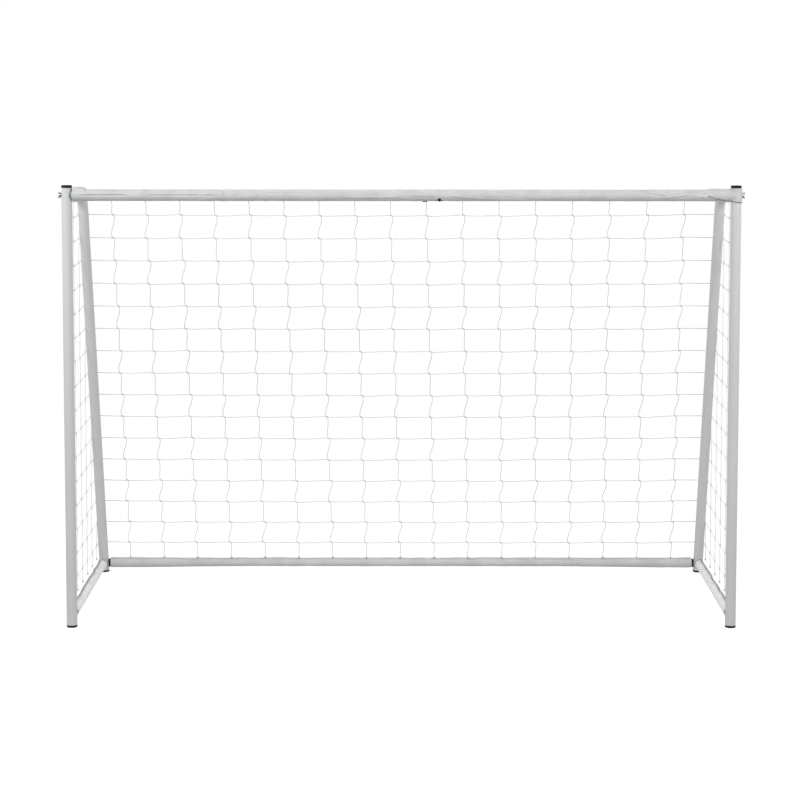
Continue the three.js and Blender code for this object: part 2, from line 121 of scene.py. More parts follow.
class Shading:
    """One material's nodes, with short calls for the ones that the finishes use."""

    def __init__(self, name: str) -> None:
        """Starts a material.

        Args:
            name: The material's name.
        """
        self.material = bpy.data.materials.new(name)
        self.material.use_nodes = True
        self.tree = self.material.node_tree
        self.shader = self.tree.nodes["Principled BSDF"]

    def add(self, kind: str, **inputs: object) -> bpy.types.Node:
        """Adds a node and sets its inputs and properties.

        Args:
            kind: The node's type without the ShaderNode prefix.
            **inputs: Property values, or input values with spaces as underscores.

        Returns:
            The new node.
        """
        node = self.tree.nodes.new("ShaderNode" + kind)
        for key, value in inputs.items():
            if hasattr(node, key):
                setattr(node, key, value)
            else:
                self.feed(node.inputs[key.replace("_", " ")], value)
        return node

    def feed(self, socket: bpy.types.NodeSocket, value: object) -> None:
        """Links a socket to another, or sets its value.

        Args:
            socket: The input.
            value: An output socket, a number, a colour or a vector.
        """
        if isinstance(value, bpy.types.NodeSocket):
            self.tree.links.new(value, socket)
        else:
            socket.default_value = value

    def surface(self, **inputs: object) -> None:
        """Sets the shader's own inputs.

        Args:
            **inputs: Values by input name, with spaces as underscores.
        """
        for key, value in inputs.items():
            self.feed(self.shader.inputs[key.replace("_", " ")], value)

    def place(self) -> bpy.types.NodeSocket:
        """The point on the object, in metres."""
        return self.add("TexCoord").outputs["Object"]

    def noise(self, scale: float, detail: float = 2.0, stretch: Colour = (1, 1, 1)) -> bpy.types.NodeSocket:
        """A noise over the object.

        Args:
            scale: Blobs per metre.
            detail: Finer octaves.
            stretch: Factors on the three directions.

        Returns:
            The noise's value.
        """
        mapped = self.add("Mapping", Vector=self.place(), Scale=stretch).outputs[0]
        return self.add("TexNoise", Vector=mapped, Scale=scale, Detail=detail).outputs["Fac"]

    def spread(self, source: bpy.types.NodeSocket, low: float, high: float) -> bpy.types.NodeSocket:
        """Maps the middle of a noise to a range.

        Args:
            source: The noise.
            low: The result where the noise is low.
            high: The result where it is high.

        Returns:
            The mapped value.
        """
        node = self.add("MapRange", Value=source, From_Min=0.3, From_Max=0.7, To_Min=low, To_Max=high)
        return node.outputs[0]

    def tint(self, source: bpy.types.NodeSocket, first: Colour, second: Colour) -> bpy.types.NodeSocket:
        """A colour between two, by a noise.

        Args:
            source: The noise.
            first: The colour where the noise is low.
            second: The colour where it is high.

        Returns:
            The colour.
        """
        ramp = self.add("ValToRGB", Fac=source)
        ramp.color_ramp.elements[0].position = 0.32
        ramp.color_ramp.elements[1].position = 0.68
        ramp.color_ramp.elements[0].color = (*first, 1)
        ramp.color_ramp.elements[1].color = (*second, 1)
        return ramp.outputs["Color"]

    def math(self, operation: str, first: object, second: object = 0.0,
             third: object = 0.0) -> bpy.types.NodeSocket:
        """One sum on two or three values.

        Args:
            operation: The Math node's operation.
            first: A socket or number.
            second: A socket or number.
            third: A socket or number, for the operations that take three.

        Returns:
            The result.
        """
        node = self.add("Math", operation=operation)
        self.feed(node.inputs[0], first)
        self.feed(node.inputs[1], second)
        self.feed(node.inputs[2], third)
        return node.outputs[0]

    def relief(self, height: bpy.types.NodeSocket, depth: float, strength: float = 1.0,
               over: bpy.types.NodeSocket | None = None) -> bpy.types.NodeSocket:
        """Surface relief from a height.

        Args:
            height: The height, from 0 to 1.
            depth: How far 1 stands above 0, in metres.
            strength: How much of it shows.
            over: Coarser relief to add to.

        Returns:
            The normal.
        """
        node = self.add("Bump", Height=height, Distance=depth, Strength=strength)
        if over is not None:
            self.feed(node.inputs["Normal"], over)
        return node.outputs[0]

    def along(self) -> tuple[bpy.types.NodeSocket, bpy.types.NodeSocket]:
        """The two surface coordinates that a mesh stores, across and along the cloth or cord."""
        parts = self.add("SeparateXYZ", Vector=self.add("UVMap").outputs[0])
        return parts.outputs[0], parts.outputs[1]


@dataclass(frozen=True)
class PowderCoat:
    """Satin silver powder coat on steel tube, with orange peel and a faint cloudiness."""

    name: str
    pale: Colour
    deep: Colour
    metallic: float = 0.12
    clouds: float = 7.0
    flecks: float = 1500.0
    fleck_share: float = 0.35
    peel: float = 420.0
    peel_depth: float = 0.00012
    gloss: tuple[float, float] = (0.3, 0.42)

    def material(self) -> bpy.types.Material:
        """Builds the material."""
        made = Shading(self.name)
        base = made.tint(made.noise(self.clouds, 4.0, (1, 1, 0.35)), self.deep, self.pale)
        light = made.tint(made.noise(self.flecks, 1.0), tuple(c * 0.93 for c in self.pale),
                          tuple(min(1, c * 1.07) for c in self.pale))
        mixed = made.add("Mix", data_type="RGBA", blend_type="MIX")
        made.feed(mixed.inputs[0], self.fleck_share)
        made.feed(mixed.inputs[6], base)
        made.feed(mixed.inputs[7], light)
        peel = made.relief(made.noise(self.peel, 2.0), self.peel_depth, 0.5)
        made.surface(Base_Color=mixed.outputs[2], Metallic=self.metallic, Specular_IOR_Level=0.5,
                     Roughness=made.spread(made.noise(38.0, 4.0), *self.gloss), Normal=peel)
        return made.material


@dataclass(frozen=True)
class MouldedPlastic:
    """Moulded plastic with a fine spark-eroded grain and rubbed patches."""

    name: str
    pale: Colour
    deep: Colour
    gloss: tuple[float, float] = (0.3, 0.46)
    grain: float = 2600.0
    grain_depth: float = 0.00006

    def material(self) -> bpy.types.Material:
        """Builds the material."""
        made = Shading(self.name)
        grain = made.relief(made.noise(self.grain, 3.0), self.grain_depth, 0.6)
        made.surface(Base_Color=made.tint(made.noise(160.0, 3.0), self.deep, self.pale),
                     Roughness=made.spread(made.noise(90.0, 4.0), *self.gloss),
                     Normal=grain, Specular_IOR_Level=0.28)
        return made.material


@dataclass(frozen=True)
class PlatedSteel:
    """Plated or blacked steel, with drawn lines and a mottled sheen."""

    name: str
    pale: Colour
    deep: Colour
    gloss: tuple[float, float] = (0.22, 0.4)
    lines: float = 900.0
    line_depth: float = 0.00004

    def material(self) -> bpy.types.Material:
        """Builds the material."""
        made = Shading(self.name)
        lines = made.relief(made.noise(self.lines, 2.0, (0.06, 1, 1)), self.line_depth, 0.5)
        made.surface(Base_Color=made.tint(made.noise(240.0, 4.0), self.deep, self.pale),
                     Metallic=1.0, Roughness=made.spread(made.noise(310.0, 3.0), *self.gloss), Normal=lines)
        return made.material


@dataclass(frozen=True)
class TwistedCord:
    """Polyethylene cord twisted from strands, from the mesh's coordinates around and along it, with painted
    shade in the grooves between strands.
    """

    name: str
    pale: Colour
    # deep is the painted shade colour in the grooves between strands; pale is the colour on their crowns.
    deep: Colour
    strands: int = 3
    lay: float = 0.008
    strand_depth: float = 0.0005
    fibres: float = 2400.0
    fibre_depth: float = 0.0001

    def material(self) -> bpy.types.Material:
        """Builds the material."""
        made = Shading(self.name)
        around, along = made.along()
        turns = made.math("ADD", made.math("MULTIPLY", around, float(self.strands)),
                          made.math("DIVIDE", along, self.lay))
        strand = made.math("ABSOLUTE", made.math("SINE", made.math("MULTIPLY", turns, math.pi)))
        fibre = made.relief(made.noise(self.fibres, 2.0), self.fibre_depth, 0.4)
        # Painted shade: the colour falls to deep in the grooves between the strands and rises to pale on
        # their crowns.
        colour = made.tint(made.math("MULTIPLY_ADD", strand, 0.7, 0.15), self.deep, self.pale)
        made.surface(Base_Color=colour, Roughness=made.spread(made.noise(300.0), 0.55, 0.75),
                     Normal=made.relief(strand, self.strand_depth, 0.8, fibre),
                     Sheen_Weight=0.15, Sheen_Roughness=0.5)
        return made.material


@dataclass(frozen=True)
class WovenFabric:
    """Thin coated plain weave, with slubs, a dusty cloudiness and a soft sheen."""

    name: str
    pale: Colour
    deep: Colour
    pitch: float = 0.0011
    weave_depth: float = 0.00022
    slubs: float = 75.0
    slub_depth: float = 0.0009
    gloss: tuple[float, float] = (0.42, 0.6)

    def material(self) -> bpy.types.Material:
        """Builds the material."""
        made = Shading(self.name)
        across, along = made.along()
        turn = TAU / self.pitch
        warp = made.math("SINE", made.math("MULTIPLY", across, turn))
        weft = made.math("SINE", made.math("MULTIPLY", along, turn))
        weave = made.math("MULTIPLY_ADD", made.math("MULTIPLY", warp, weft), 0.5, 0.5)
        slub = made.relief(made.noise(self.slubs, 4.0, (0.25, 1, 1)), self.slub_depth, 0.25)
        made.surface(Base_Color=made.tint(made.noise(16.0, 5.0), self.deep, self.pale),
                     Roughness=made.spread(made.noise(55.0, 3.0), *self.gloss),
                     Normal=made.relief(weave, self.weave_depth, 0.7, slub),
                     Sheen_Weight=0.12, Sheen_Roughness=0.4)
        return made.material


@dataclass(frozen=True)
class StudioPaper:
    """The pale paper that the goal stands on, lit evenly."""

    name: str
    glow: float

    def material(self) -> bpy.types.Material:
        """Builds the material."""
        made = Shading(self.name)
        made.surface(Base_Color=made.tint(made.noise(2.0, 3.0), (0.1,) * 3, (0.12,) * 3), Roughness=0.9,
                     Emission_Color=(1, 1, 1, 1), Emission_Strength=self.glow)
        return made.material


class Finishes:
    """Every finish of the goal, built once."""

    def __init__(self) -> None:
        """Builds the materials."""
        self.steel = PowderCoat("silver_powder_coat", (0.63, 0.642, 0.65), (0.57, 0.582, 0.59)).material()
        self.black = MouldedPlastic("black_end_plastic", (0.009,) * 3, (0.004,) * 3, (0.45, 0.62)).material()
        self.zinc = PlatedSteel("zinc_plate", (0.46, 0.47, 0.48), (0.3, 0.31, 0.32)).material()
        self.dark = PlatedSteel("black_oxide", (0.035, 0.03, 0.03), (0.015, 0.013, 0.013)).material()
        self.nylon = MouldedPlastic("grey_plug_nylon", (0.26, 0.27, 0.27), (0.2, 0.21, 0.21)).material()
        self.cord = TwistedCord("net_cord_white", (0.74, 0.745, 0.75), (0.58, 0.585, 0.59)).material()
        # Painted light: the side panels' strings get a brighter copy of the same cord, lighter than the back
        # net and the edge ropes.
        self.side_cord_painted_lit = TwistedCord("net_cord_painted_brighter", (0.88, 0.885, 0.89), (0.72, 0.725, 0.73)).material()
        self.fabric = WovenFabric("grey_sleeve_cloth", (0.58, 0.585, 0.592), (0.5, 0.505, 0.512)).material()
        pale = WovenFabric("white_sleeve_cloth", (0.93, 0.935, 0.93), (0.86, 0.865, 0.86))
        self.pale_fabric = pale.material()
        self.thread = self.sewing("grey_sewing_thread", (0.2, 0.205, 0.21), (0.13, 0.135, 0.14))
        self.pale_thread = self.sewing("white_sewing_thread", (0.7,) * 3, (0.55,) * 3)
        self.dark_thread = self.sewing("black_sewing_thread", (0.03,) * 3, (0.01,) * 3)

    def sewing(self, name: str, pale: Colour, deep: Colour) -> bpy.types.Material:
        """A two-ply sewing thread in one colour, with painted shade between its plies."""
        return TwistedCord(name, pale, deep, 2, 0.0016).material()


# ---- Mesh building ----


def unit(vector: np.ndarray) -> np.ndarray:
    """The vector, or each row of several, at length one."""
    return vector / np.maximum(np.linalg.norm(vector, axis=-1, keepdims=True), 1e-12)


def lengths_along(path: np.ndarray) -> np.ndarray:
    """The distance travelled at each point of a path."""
    return np.concatenate(([0.0], np.cumsum(np.linalg.norm(np.diff(path, axis=0), axis=1))))


def resampled(path: np.ndarray, count: int) -> np.ndarray:
    """The path at evenly spaced points.

    Args:
        path: Its points, one per row.
        count: How many points to return.

    Returns:
        The new points.
    """
    travelled = lengths_along(path)
    wanted = np.linspace(0, travelled[-1], count)
    return np.stack([np.interp(wanted, travelled, path[:, k]) for k in range(path.shape[1])], axis=1)


def tangents(path: np.ndarray) -> np.ndarray:
    """The direction of travel at each point of a path."""
    return unit(np.gradient(path, axis=0))


def rings_along(path: np.ndarray, radius: float | np.ndarray, sides: int) -> np.ndarray:
    """Rings of points about a path, without twist.

    Args:
        path: The centreline, one point per row.
        radius: One radius, or one for each point.
        sides: Points in a ring.

    Returns:
        An array of rings, (points, sides, 3).
    """
    ways = tangents(path)
    start = UP if abs(ways[0] @ UP) < 0.9 else RIGHT
    normal = unit(np.cross(ways[0], start))
    normals = []
    for way in ways:
        normal = unit(normal - way * (normal @ way))
        normals.append(normal)
    first = np.array(normals)
    second = np.cross(ways, first)
    turn = np.arange(sides) * TAU / sides
    spread = np.broadcast_to(np.asarray(radius, float), (len(path),))[:, None, None]
    around = first[:, None] * np.cos(turn)[None, :, None] + second[:, None] * np.sin(turn)[None, :, None]
    return path[:, None] + around * spread


def spokes(axis: np.ndarray, sides: int) -> np.ndarray:
    """Unit directions evenly round an axis.

    Args:
        axis: The axis, of length one.
        sides: How many directions.

    Returns:
        The directions, one per row.
    """
    first = unit(np.cross(axis, RIGHT if abs(axis @ RIGHT) < 0.9 else UP))
    second = np.cross(axis, first)
    turn = np.arange(sides) * TAU / sides
    return first * np.cos(turn)[:, None] + second * np.sin(turn)[:, None]


def bow(first: np.ndarray, one: np.ndarray, two: np.ndarray, last: np.ndarray,
        share: np.ndarray) -> np.ndarray:
    """Points on the smooth curve between two ends, pulled by two handles.

    Args:
        first: The start.
        one: The start's handle.
        two: The end's handle.
        last: The end.
        share: How far along each point is, one per row.

    Returns:
        The points.
    """
    rest = 1 - share
    return first * rest**3 + one * 3 * rest**2 * share + two * 3 * rest * share**2 + last * share**3


def turn_outwards(mesh: bpy.types.Mesh) -> None:
    """Makes the faces of each body in a mesh look the same way, outwards where it is closed."""
    work = bmesh.new()
    work.from_mesh(mesh)
    bmesh.ops.recalc_face_normals(work, faces=work.faces)
    work.to_mesh(mesh)
    work.free()


class Draft:
    """The points, faces and surface coordinates of one piece while it is being built."""

    def __init__(self) -> None:
        """Starts empty."""
        self.points: list[np.ndarray] = []
        self.faces: list[tuple[int, ...]] = []
        self.corners: list[np.ndarray] = []
        self.count = 0

    def grid(self, points: np.ndarray, across: np.ndarray, along: np.ndarray, closed: bool = True,
             keep: np.ndarray | None = None, looped: bool = False) -> None:
        """Adds a grid of quads.

        Args:
            points: The grid, (rows, columns, 3).
            across: Surface coordinate of each column, with one more if closed.
            along: Surface coordinate of each row, with one more if looped.
            closed: Whether the last column joins the first.
            keep: Which quads to keep, or None for all.
            looped: Whether the last row joins the first.
        """
        rows, columns = points.shape[:2]
        wide = columns if closed else columns - 1
        deep = rows if looped else rows - 1
        row, column = np.meshgrid(np.arange(deep), np.arange(wide), indexing="ij")
        following, after = (column + 1) % columns, (row + 1) % rows
        quads = np.stack([row * columns + column, row * columns + following,
                          after * columns + following, after * columns + column], axis=-1)
        place = np.stack([np.stack([across[column + right], along[row + up]], -1)
                          for right, up in ((0, 0), (1, 0), (1, 1), (0, 1))], axis=2)
        if keep is not None:
            quads, place = quads[keep], place[keep]
        self.faces.extend(map(tuple, (quads.reshape(-1, 4) + self.count).tolist()))
        self.corners.append(place.reshape(-1, 2))
        self.points.append(points.reshape(-1, 3))
        self.count += rows * columns

    def tube(self, path: np.ndarray, radius: float | np.ndarray, sides: int) -> None:
        """Adds a round cord or rod about a path, with its ends filled.

        Args:
            path: The centreline.
            radius: One radius, or one for each point.
            sides: Points around it.
        """
        self.capped(rings_along(path, radius, sides), lengths_along(path))

    def capped(self, rings: np.ndarray, along: np.ndarray) -> None:
        """Adds a closed solid from its rings, with a flat face over each end.

        Args:
            rings: The rings, (rows, sides, 3).
            along: Surface coordinate of each ring.
        """
        before, sides = self.count, rings.shape[1]
        self.grid(rings, np.arange(sides + 1) / sides, along)
        for ring in (range(before + sides - 1, before - 1, -1), range(self.count - sides, self.count)):
            self.faces.append(tuple(ring))
            self.corners.append(np.zeros((sides, 2)))

    def turned(self, corners: Sequence[tuple], origin: np.ndarray, axis: np.ndarray, sides: int = 48) -> None:
        """Adds a closed solid of revolution.

        Args:
            corners: (radius, height) up the profile, with an Outline as third value where not round.
            origin: The point at height 0.
            axis: The direction of height.
            sides: Points around it.
        """
        axis = unit(np.asarray(axis, float))
        spoke, turn = spokes(axis, sides), np.arange(sides) * TAU / sides
        rings = []
        for radius, height, *outline in corners:
            reach = np.full(sides, float(radius))
            if outline and outline[0] is Outline.HEXAGON:
                reach = radius * math.cos(TAU / 12) / np.cos((turn % (TAU / 6)) - TAU / 12)
            rings.append(np.asarray(origin) + axis * height + spoke * reach[:, None])
        self.capped(np.array(rings), np.array([corner[1] for corner in corners], float))

    def copies(self, template: "Draft", places: np.ndarray, turns: np.ndarray) -> None:
        """Adds copies of another draft.

        Args:
            template: The draft to copy.
            places: Where each copy's origin goes, one per row.
            turns: Each copy's three axes as the columns of a matrix, (copies, 3, 3).
        """
        shape = np.concatenate(template.points)
        corners = np.concatenate(template.corners)
        moved = np.einsum("cij,pj->cpi", turns, shape) + places[:, None]
        for copy in moved:
            self.points.append(copy)
            self.faces.extend(tuple(i + self.count for i in face) for face in template.faces)
            self.corners.append(corners)
            self.count += len(shape)

    def piece(self, name: str, finish: bpy.types.Material, slot: Slot, body: Body = Body.FRAME,
              replaces: Sequence[str] = (), sharp: float = 40.0) -> bpy.types.Object:
        """Makes the object, smooth but for its sharp edges, and hangs it on its body.

        Args:
            name: The piece's name.
            finish: Its material.
            slot: The material slot for that finish; not used.
            body: What it moves with.
            replaces: The CAD nodes that it stands for.
            sharp: The angle between faces from which an edge is sharp, in degrees.

        Returns:
            The object.
        """
        mesh = bpy.data.meshes.new(name)
        mesh.from_pydata(np.concatenate(self.points).tolist(), [], self.faces)
        layer = mesh.uv_layers.new(name="UVMap")
        layer.data.foreach_set("uv", np.concatenate(self.corners).astype(np.float32).ravel())
        mesh.polygons.foreach_set("use_smooth", [True] * len(mesh.polygons))
        turn_outwards(mesh)
        mesh.set_sharp_from_angle(angle=math.radians(sharp))
        mesh.materials.append(finish)
        made = bpy.data.objects.new(name, mesh)
        bpy.context.scene.collection.objects.link(made)
        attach(made, body.value)
        if replaces:
            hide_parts(*replaces)
        LOG.info("%s: %d faces", name, len(self.faces))
        return made


def rounded(corners: Sequence[tuple[float, float]], fillet: float,
            steps: int = 4) -> list[tuple[float, float]]:
    """Rounds the inner corners of a profile.

    Args:
        corners: (radius, height) pairs.
        fillet: The rounding's reach along each side.
        steps: Points in each rounding, less one.

    Returns:
        The profile with its corners rounded.
    """
    pairs = [np.array(corner, float) for corner in corners]
    path = [tuple(pairs[0])]
    for before, corner, after in zip(pairs, pairs[1:], pairs[2:]):
        reach = min(fillet, np.linalg.norm(before - corner) / 2, np.linalg.norm(after - corner) / 2)
        start = corner + unit(before - corner) * reach
        end = corner + unit(after - corner) * reach
        for share in np.linspace(0, 1, steps + 1):
            path.append(tuple((1 - share) ** 2 * start + 2 * share * (1 - share) * corner + share**2 * end))
    return path + [tuple(pairs[-1])]


class SmoothNoise:
    """Repeatable smooth noise over a plane, from -1 to 1."""

    def __init__(self, seed: int) -> None:
        """Draws the lattice.

        Args:
            seed: The draw's seed.
        """
        self.lattice = np.random.default_rng(seed).uniform(-1, 1, (257, 257))

    def at(self, first: np.ndarray, second: np.ndarray) -> np.ndarray:
        """The noise at points of the plane, with one lattice cell per unit.

        Args:
            first: The first coordinate.
            second: The second coordinate.

        Returns:
            The values.
        """
        column, row = np.floor(first).astype(int), np.floor(second).astype(int)
        fx, fy = first - column, second - row
        fx, fy = fx * fx * (3 - 2 * fx), fy * fy * (3 - 2 * fy)
        grid, a, b = self.lattice, column % 256, row % 256
        low = grid[b, a] * (1 - fx) + grid[b, a + 1] * fx
        high = grid[b + 1, a] * (1 - fx) + grid[b + 1, a + 1] * fx
        return low * (1 - fy) + high * fy


def ramp(value: np.ndarray, low: float, high: float) -> np.ndarray:
    """A smooth step from 0 at low to 1 at high."""
    share = np.clip((value - low) / (high - low), 0, 1)
    return share * share * (3 - 2 * share)


# ---- Places and sizes ----


@dataclass(frozen=True)
class GoalSizes:
    """The frame's places, in metres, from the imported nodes' boxes and the stays' drawing."""

    post_x: float
    post_y: float
    post_radius: float
    post_low: float
    post_top: float
    crossbar_z: float
    joint_x: float
    bar_z: float
    bar_radius: float
    rear_y: float
    stay_depth: float = 0.857
    elbow_depth: float = 0.377
    elbow_z: float = 1.521
    arm_z: float = 1.547
    bend: float = 0.07
    wall: float = 0.0012
    gap: float = 0.0003

    @classmethod
    def from_frame(cls) -> "GoalSizes":
        """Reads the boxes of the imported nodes.

        Returns:
            The sizes.
        """
        post, bar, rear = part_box("right_post"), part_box("crossbar_right"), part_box("rear_bar_right")
        return cls(
            post_x=(post[0].x + post[1].x) / 2, post_y=(post[0].y + post[1].y) / 2,
            post_radius=(post[1].y - post[0].y) / 2, post_low=post[0].z, post_top=post[1].z,
            crossbar_z=(bar[0].z + bar[1].z) / 2, joint_x=bar[0].x,
            bar_z=(rear[0].z + rear[1].z) / 2, bar_radius=(rear[1].z - rear[0].z) / 2,
            rear_y=(rear[0].y + rear[1].y) / 2)

    @property
    def lean(self) -> float:
        """The stays' lean from upright, in radians."""
        return math.atan2(self.stay_depth - self.elbow_depth, self.elbow_z)

    @property
    def slope(self) -> float:
        """The arms' fall from level, in radians."""
        return math.atan2(self.arm_z - self.elbow_z, self.elbow_depth)

    @property
    def leg_up(self) -> np.ndarray:
        """The direction up a stay's leg."""
        return np.array((0.0, -math.sin(self.lean), math.cos(self.lean)))

    def post_base(self, side: Side) -> np.ndarray:
        """The point on the ground under a post."""
        return np.array((side.value * self.post_x, self.post_y, 0.0))

    def leg_foot(self, side: Side) -> np.ndarray:
        """The point where a stay's axis meets the ground."""
        return self.post_base(side) + BACK * self.stay_depth

    def leg_depth(self, height: float | np.ndarray) -> float | np.ndarray:
        """How far behind the posts a stay's axis is at a height."""
        return self.stay_depth - height * math.tan(self.lean)

    def stay_profile(self, outside: float, low: float, front: float = 0.0, steps: int = 24) -> np.ndarray:
        """A line at an even distance outside the stay's axis, from the post over the bend and down the leg.

        Args:
            outside: The distance from the axis.
            low: The height where it ends.
            front: The depth behind the posts where it starts.
            steps: Points round the bend.

        Returns:
            (depth, height) pairs.
        """
        turn = math.pi / 2 - self.lean - self.slope
        reach = self.bend * math.tan(turn / 2)
        over = np.array((math.sin(self.slope), math.cos(self.slope)))
        back = np.array((math.cos(self.slope), -math.sin(self.slope)))
        start = np.array((front, self.arm_z - front * math.tan(self.slope))) + over * outside
        centre = np.array((self.elbow_depth, self.elbow_z)) - back * reach - over * self.bend
        angles = np.linspace(math.pi / 2 - self.slope, self.lean, steps)
        arc = centre + (self.bend + outside) * np.stack([np.cos(angles), np.sin(angles)], axis=1)
        away = outside / math.cos(self.lean)
        end = np.array((self.leg_depth(low) + away, low))
        return np.vstack([start, arc, end])

    def stay_path(self, side: Side, outside: float, lateral: float, low: float,
                  front: float = 0.0) -> np.ndarray:
        """The same line in the goal's frame.

        Args:
            side: Which stay.
            outside: The distance behind and above the axis.
            lateral: The distance out of the goal from the axis.
            low: The height where it ends.
            front: The depth where it starts.

        Returns:
            Points, one per row.
        """
        line = self.stay_profile(outside, low, front)
        across = np.full(len(line), side.value * (self.post_x + lateral))
        return np.stack([across, self.post_y + line[:, 0], line[:, 1]], axis=1)


# ---- Tubes ----


@dataclass(frozen=True)
class RoundCope:
    """Ends a tube against a round tube."""

    point: np.ndarray
    axis: np.ndarray
    radius: float

    def reach(self, ring: np.ndarray, way: np.ndarray) -> np.ndarray:
        """How far each point runs on until it meets the round tube.

        Args:
            ring: The end ring's points.
            way: The direction out of the tube's end.

        Returns:
            One distance for each point.
        """
        axis = unit(self.axis)
        offset = ring - self.point
        offset = offset - (offset @ axis)[:, None] * axis
        across = way - (way @ axis) * axis
        a, b = across @ across, 2 * offset @ across
        c = np.einsum("ij,ij->i", offset, offset) - self.radius**2
        return (-b - np.sqrt(np.maximum(b * b - 4 * a * c, 0))) / (2 * a)


@dataclass(frozen=True)
class LevelCut:
    """Ends a tube level with the ground."""

    height: float

    def reach(self, ring: np.ndarray, way: np.ndarray) -> np.ndarray:
        """How far each point runs on until it meets the level.

        Args:
            ring: The end ring's points.
            way: The direction out of the tube's end.

        Returns:
            One distance for each point.
        """
        return (self.height - ring[:, 2]) / way[2]


@dataclass
class RoundTube:
    """A round tube about a path, with its ends cut to what they meet."""

    path: np.ndarray
    radius: float
    wall: float
    first_end: RoundCope | LevelCut | None = None
    last_end: RoundCope | LevelCut | None = None
    sides: int = TUBE_SIDES

    def drawn(self) -> Draft:
        """The tube, with its bore and its two rims.

        Returns:
            A new draft.
        """
        draft = Draft()
        outer = self.trimmed(rings_along(self.path, self.radius, self.sides))
        inner = self.trimmed(rings_along(self.path, self.radius - self.wall, self.sides))
        loop = np.concatenate([outer, inner[::-1]])
        travelled = lengths_along(np.concatenate([loop[:, 0], loop[:1, 0]]))
        draft.grid(loop, np.arange(self.sides + 1) / self.sides, travelled, looped=True)
        return draft

    def trimmed(self, rings: np.ndarray) -> np.ndarray:
        """The rings with the end ones moved to the cuts.

        Args:
            rings: The rings, the first and last of which are changed.

        Returns:
            The same rings.
        """
        for cut, index, way in ((self.first_end, 0, -1), (self.last_end, -1, 1)):
            if cut is not None:
                heading = way * tangents(self.path)[index]
                rings[index] += cut.reach(rings[index], heading)[:, None] * heading
        return rings


@dataclass
class EndPlug:
    """A plastic end: a head over the tube's rim and a ribbed plug in its bore."""

    radius: float
    bore: float
    head: float
    plug: float = 0.015
    fillet: float = 0.0016
    ribs: int = 4
    rib_pitch: float = 0.0034
    rib: float = 0.0009
    groove: float = 0.0012
    dish: float = 0.0004

    def drawn(self, rim: np.ndarray, out: np.ndarray) -> Draft:
        """The end in its place.

        Args:
            rim: The middle of the tube's rim.
            out: The direction out of the tube.

        Returns:
            A new draft.
        """
        inner, tip = self.bore - self.groove, self.bore - 0.0003
        ribs = []
        for k in range(self.ribs):
            height = -self.plug + 0.002 + k * self.rib_pitch
            ribs += [(inner, height), (tip, height + self.rib), (inner, height + 2 * self.rib)]
        start = [(CENTRE, -self.plug), (self.bore - 0.0028, -self.plug)]
        head = rounded([(inner, 0.0), (self.radius, 0.0), (self.radius, self.head),
                        (self.radius * 0.62, self.head)], self.fillet)
        dish = [(self.radius * 0.6, self.head - self.dish), (CENTRE, self.head - self.dish)]
        draft = Draft()
        draft.turned(start + ribs + head + dish, rim, out, 64)
        return draft


@dataclass
class LockScrew:
    """A pan-head screw with a hexagon socket."""

    shank: float = 0.003
    head: float = 0.0055
    height: float = 0.003
    length: float = 0.009
    threads: int = 7
    thread_pitch: float = 0.0012
    socket: float = 0.46

    def drawn(self, seat: np.ndarray, out: np.ndarray) -> Draft:
        """The screw in its place.

        Args:
            seat: The middle of the head's underside.
            out: The direction out of the head.

        Returns:
            A new draft.
        """
        thread = []
        for k in range(self.threads):
            height = -self.length + self.thread_pitch * (k + 0.5)
            thread += [(self.shank - 0.0004, height), (self.shank, height + 0.0005)]
        dome = rounded([(self.shank, 0.0), (self.head, 0.0), (self.head, self.height * 0.55),
                        (self.head * 0.55, self.height)], 0.0012)
        socket = [(self.head * self.socket, self.height, Outline.HEXAGON),
                  (self.head * self.socket, self.height * 0.25, Outline.HEXAGON), (CENTRE, self.height * 0.2)]
        draft = Draft()
        draft.turned([(CENTRE, -self.length), *thread, *dome, *socket], seat, out)
        return draft


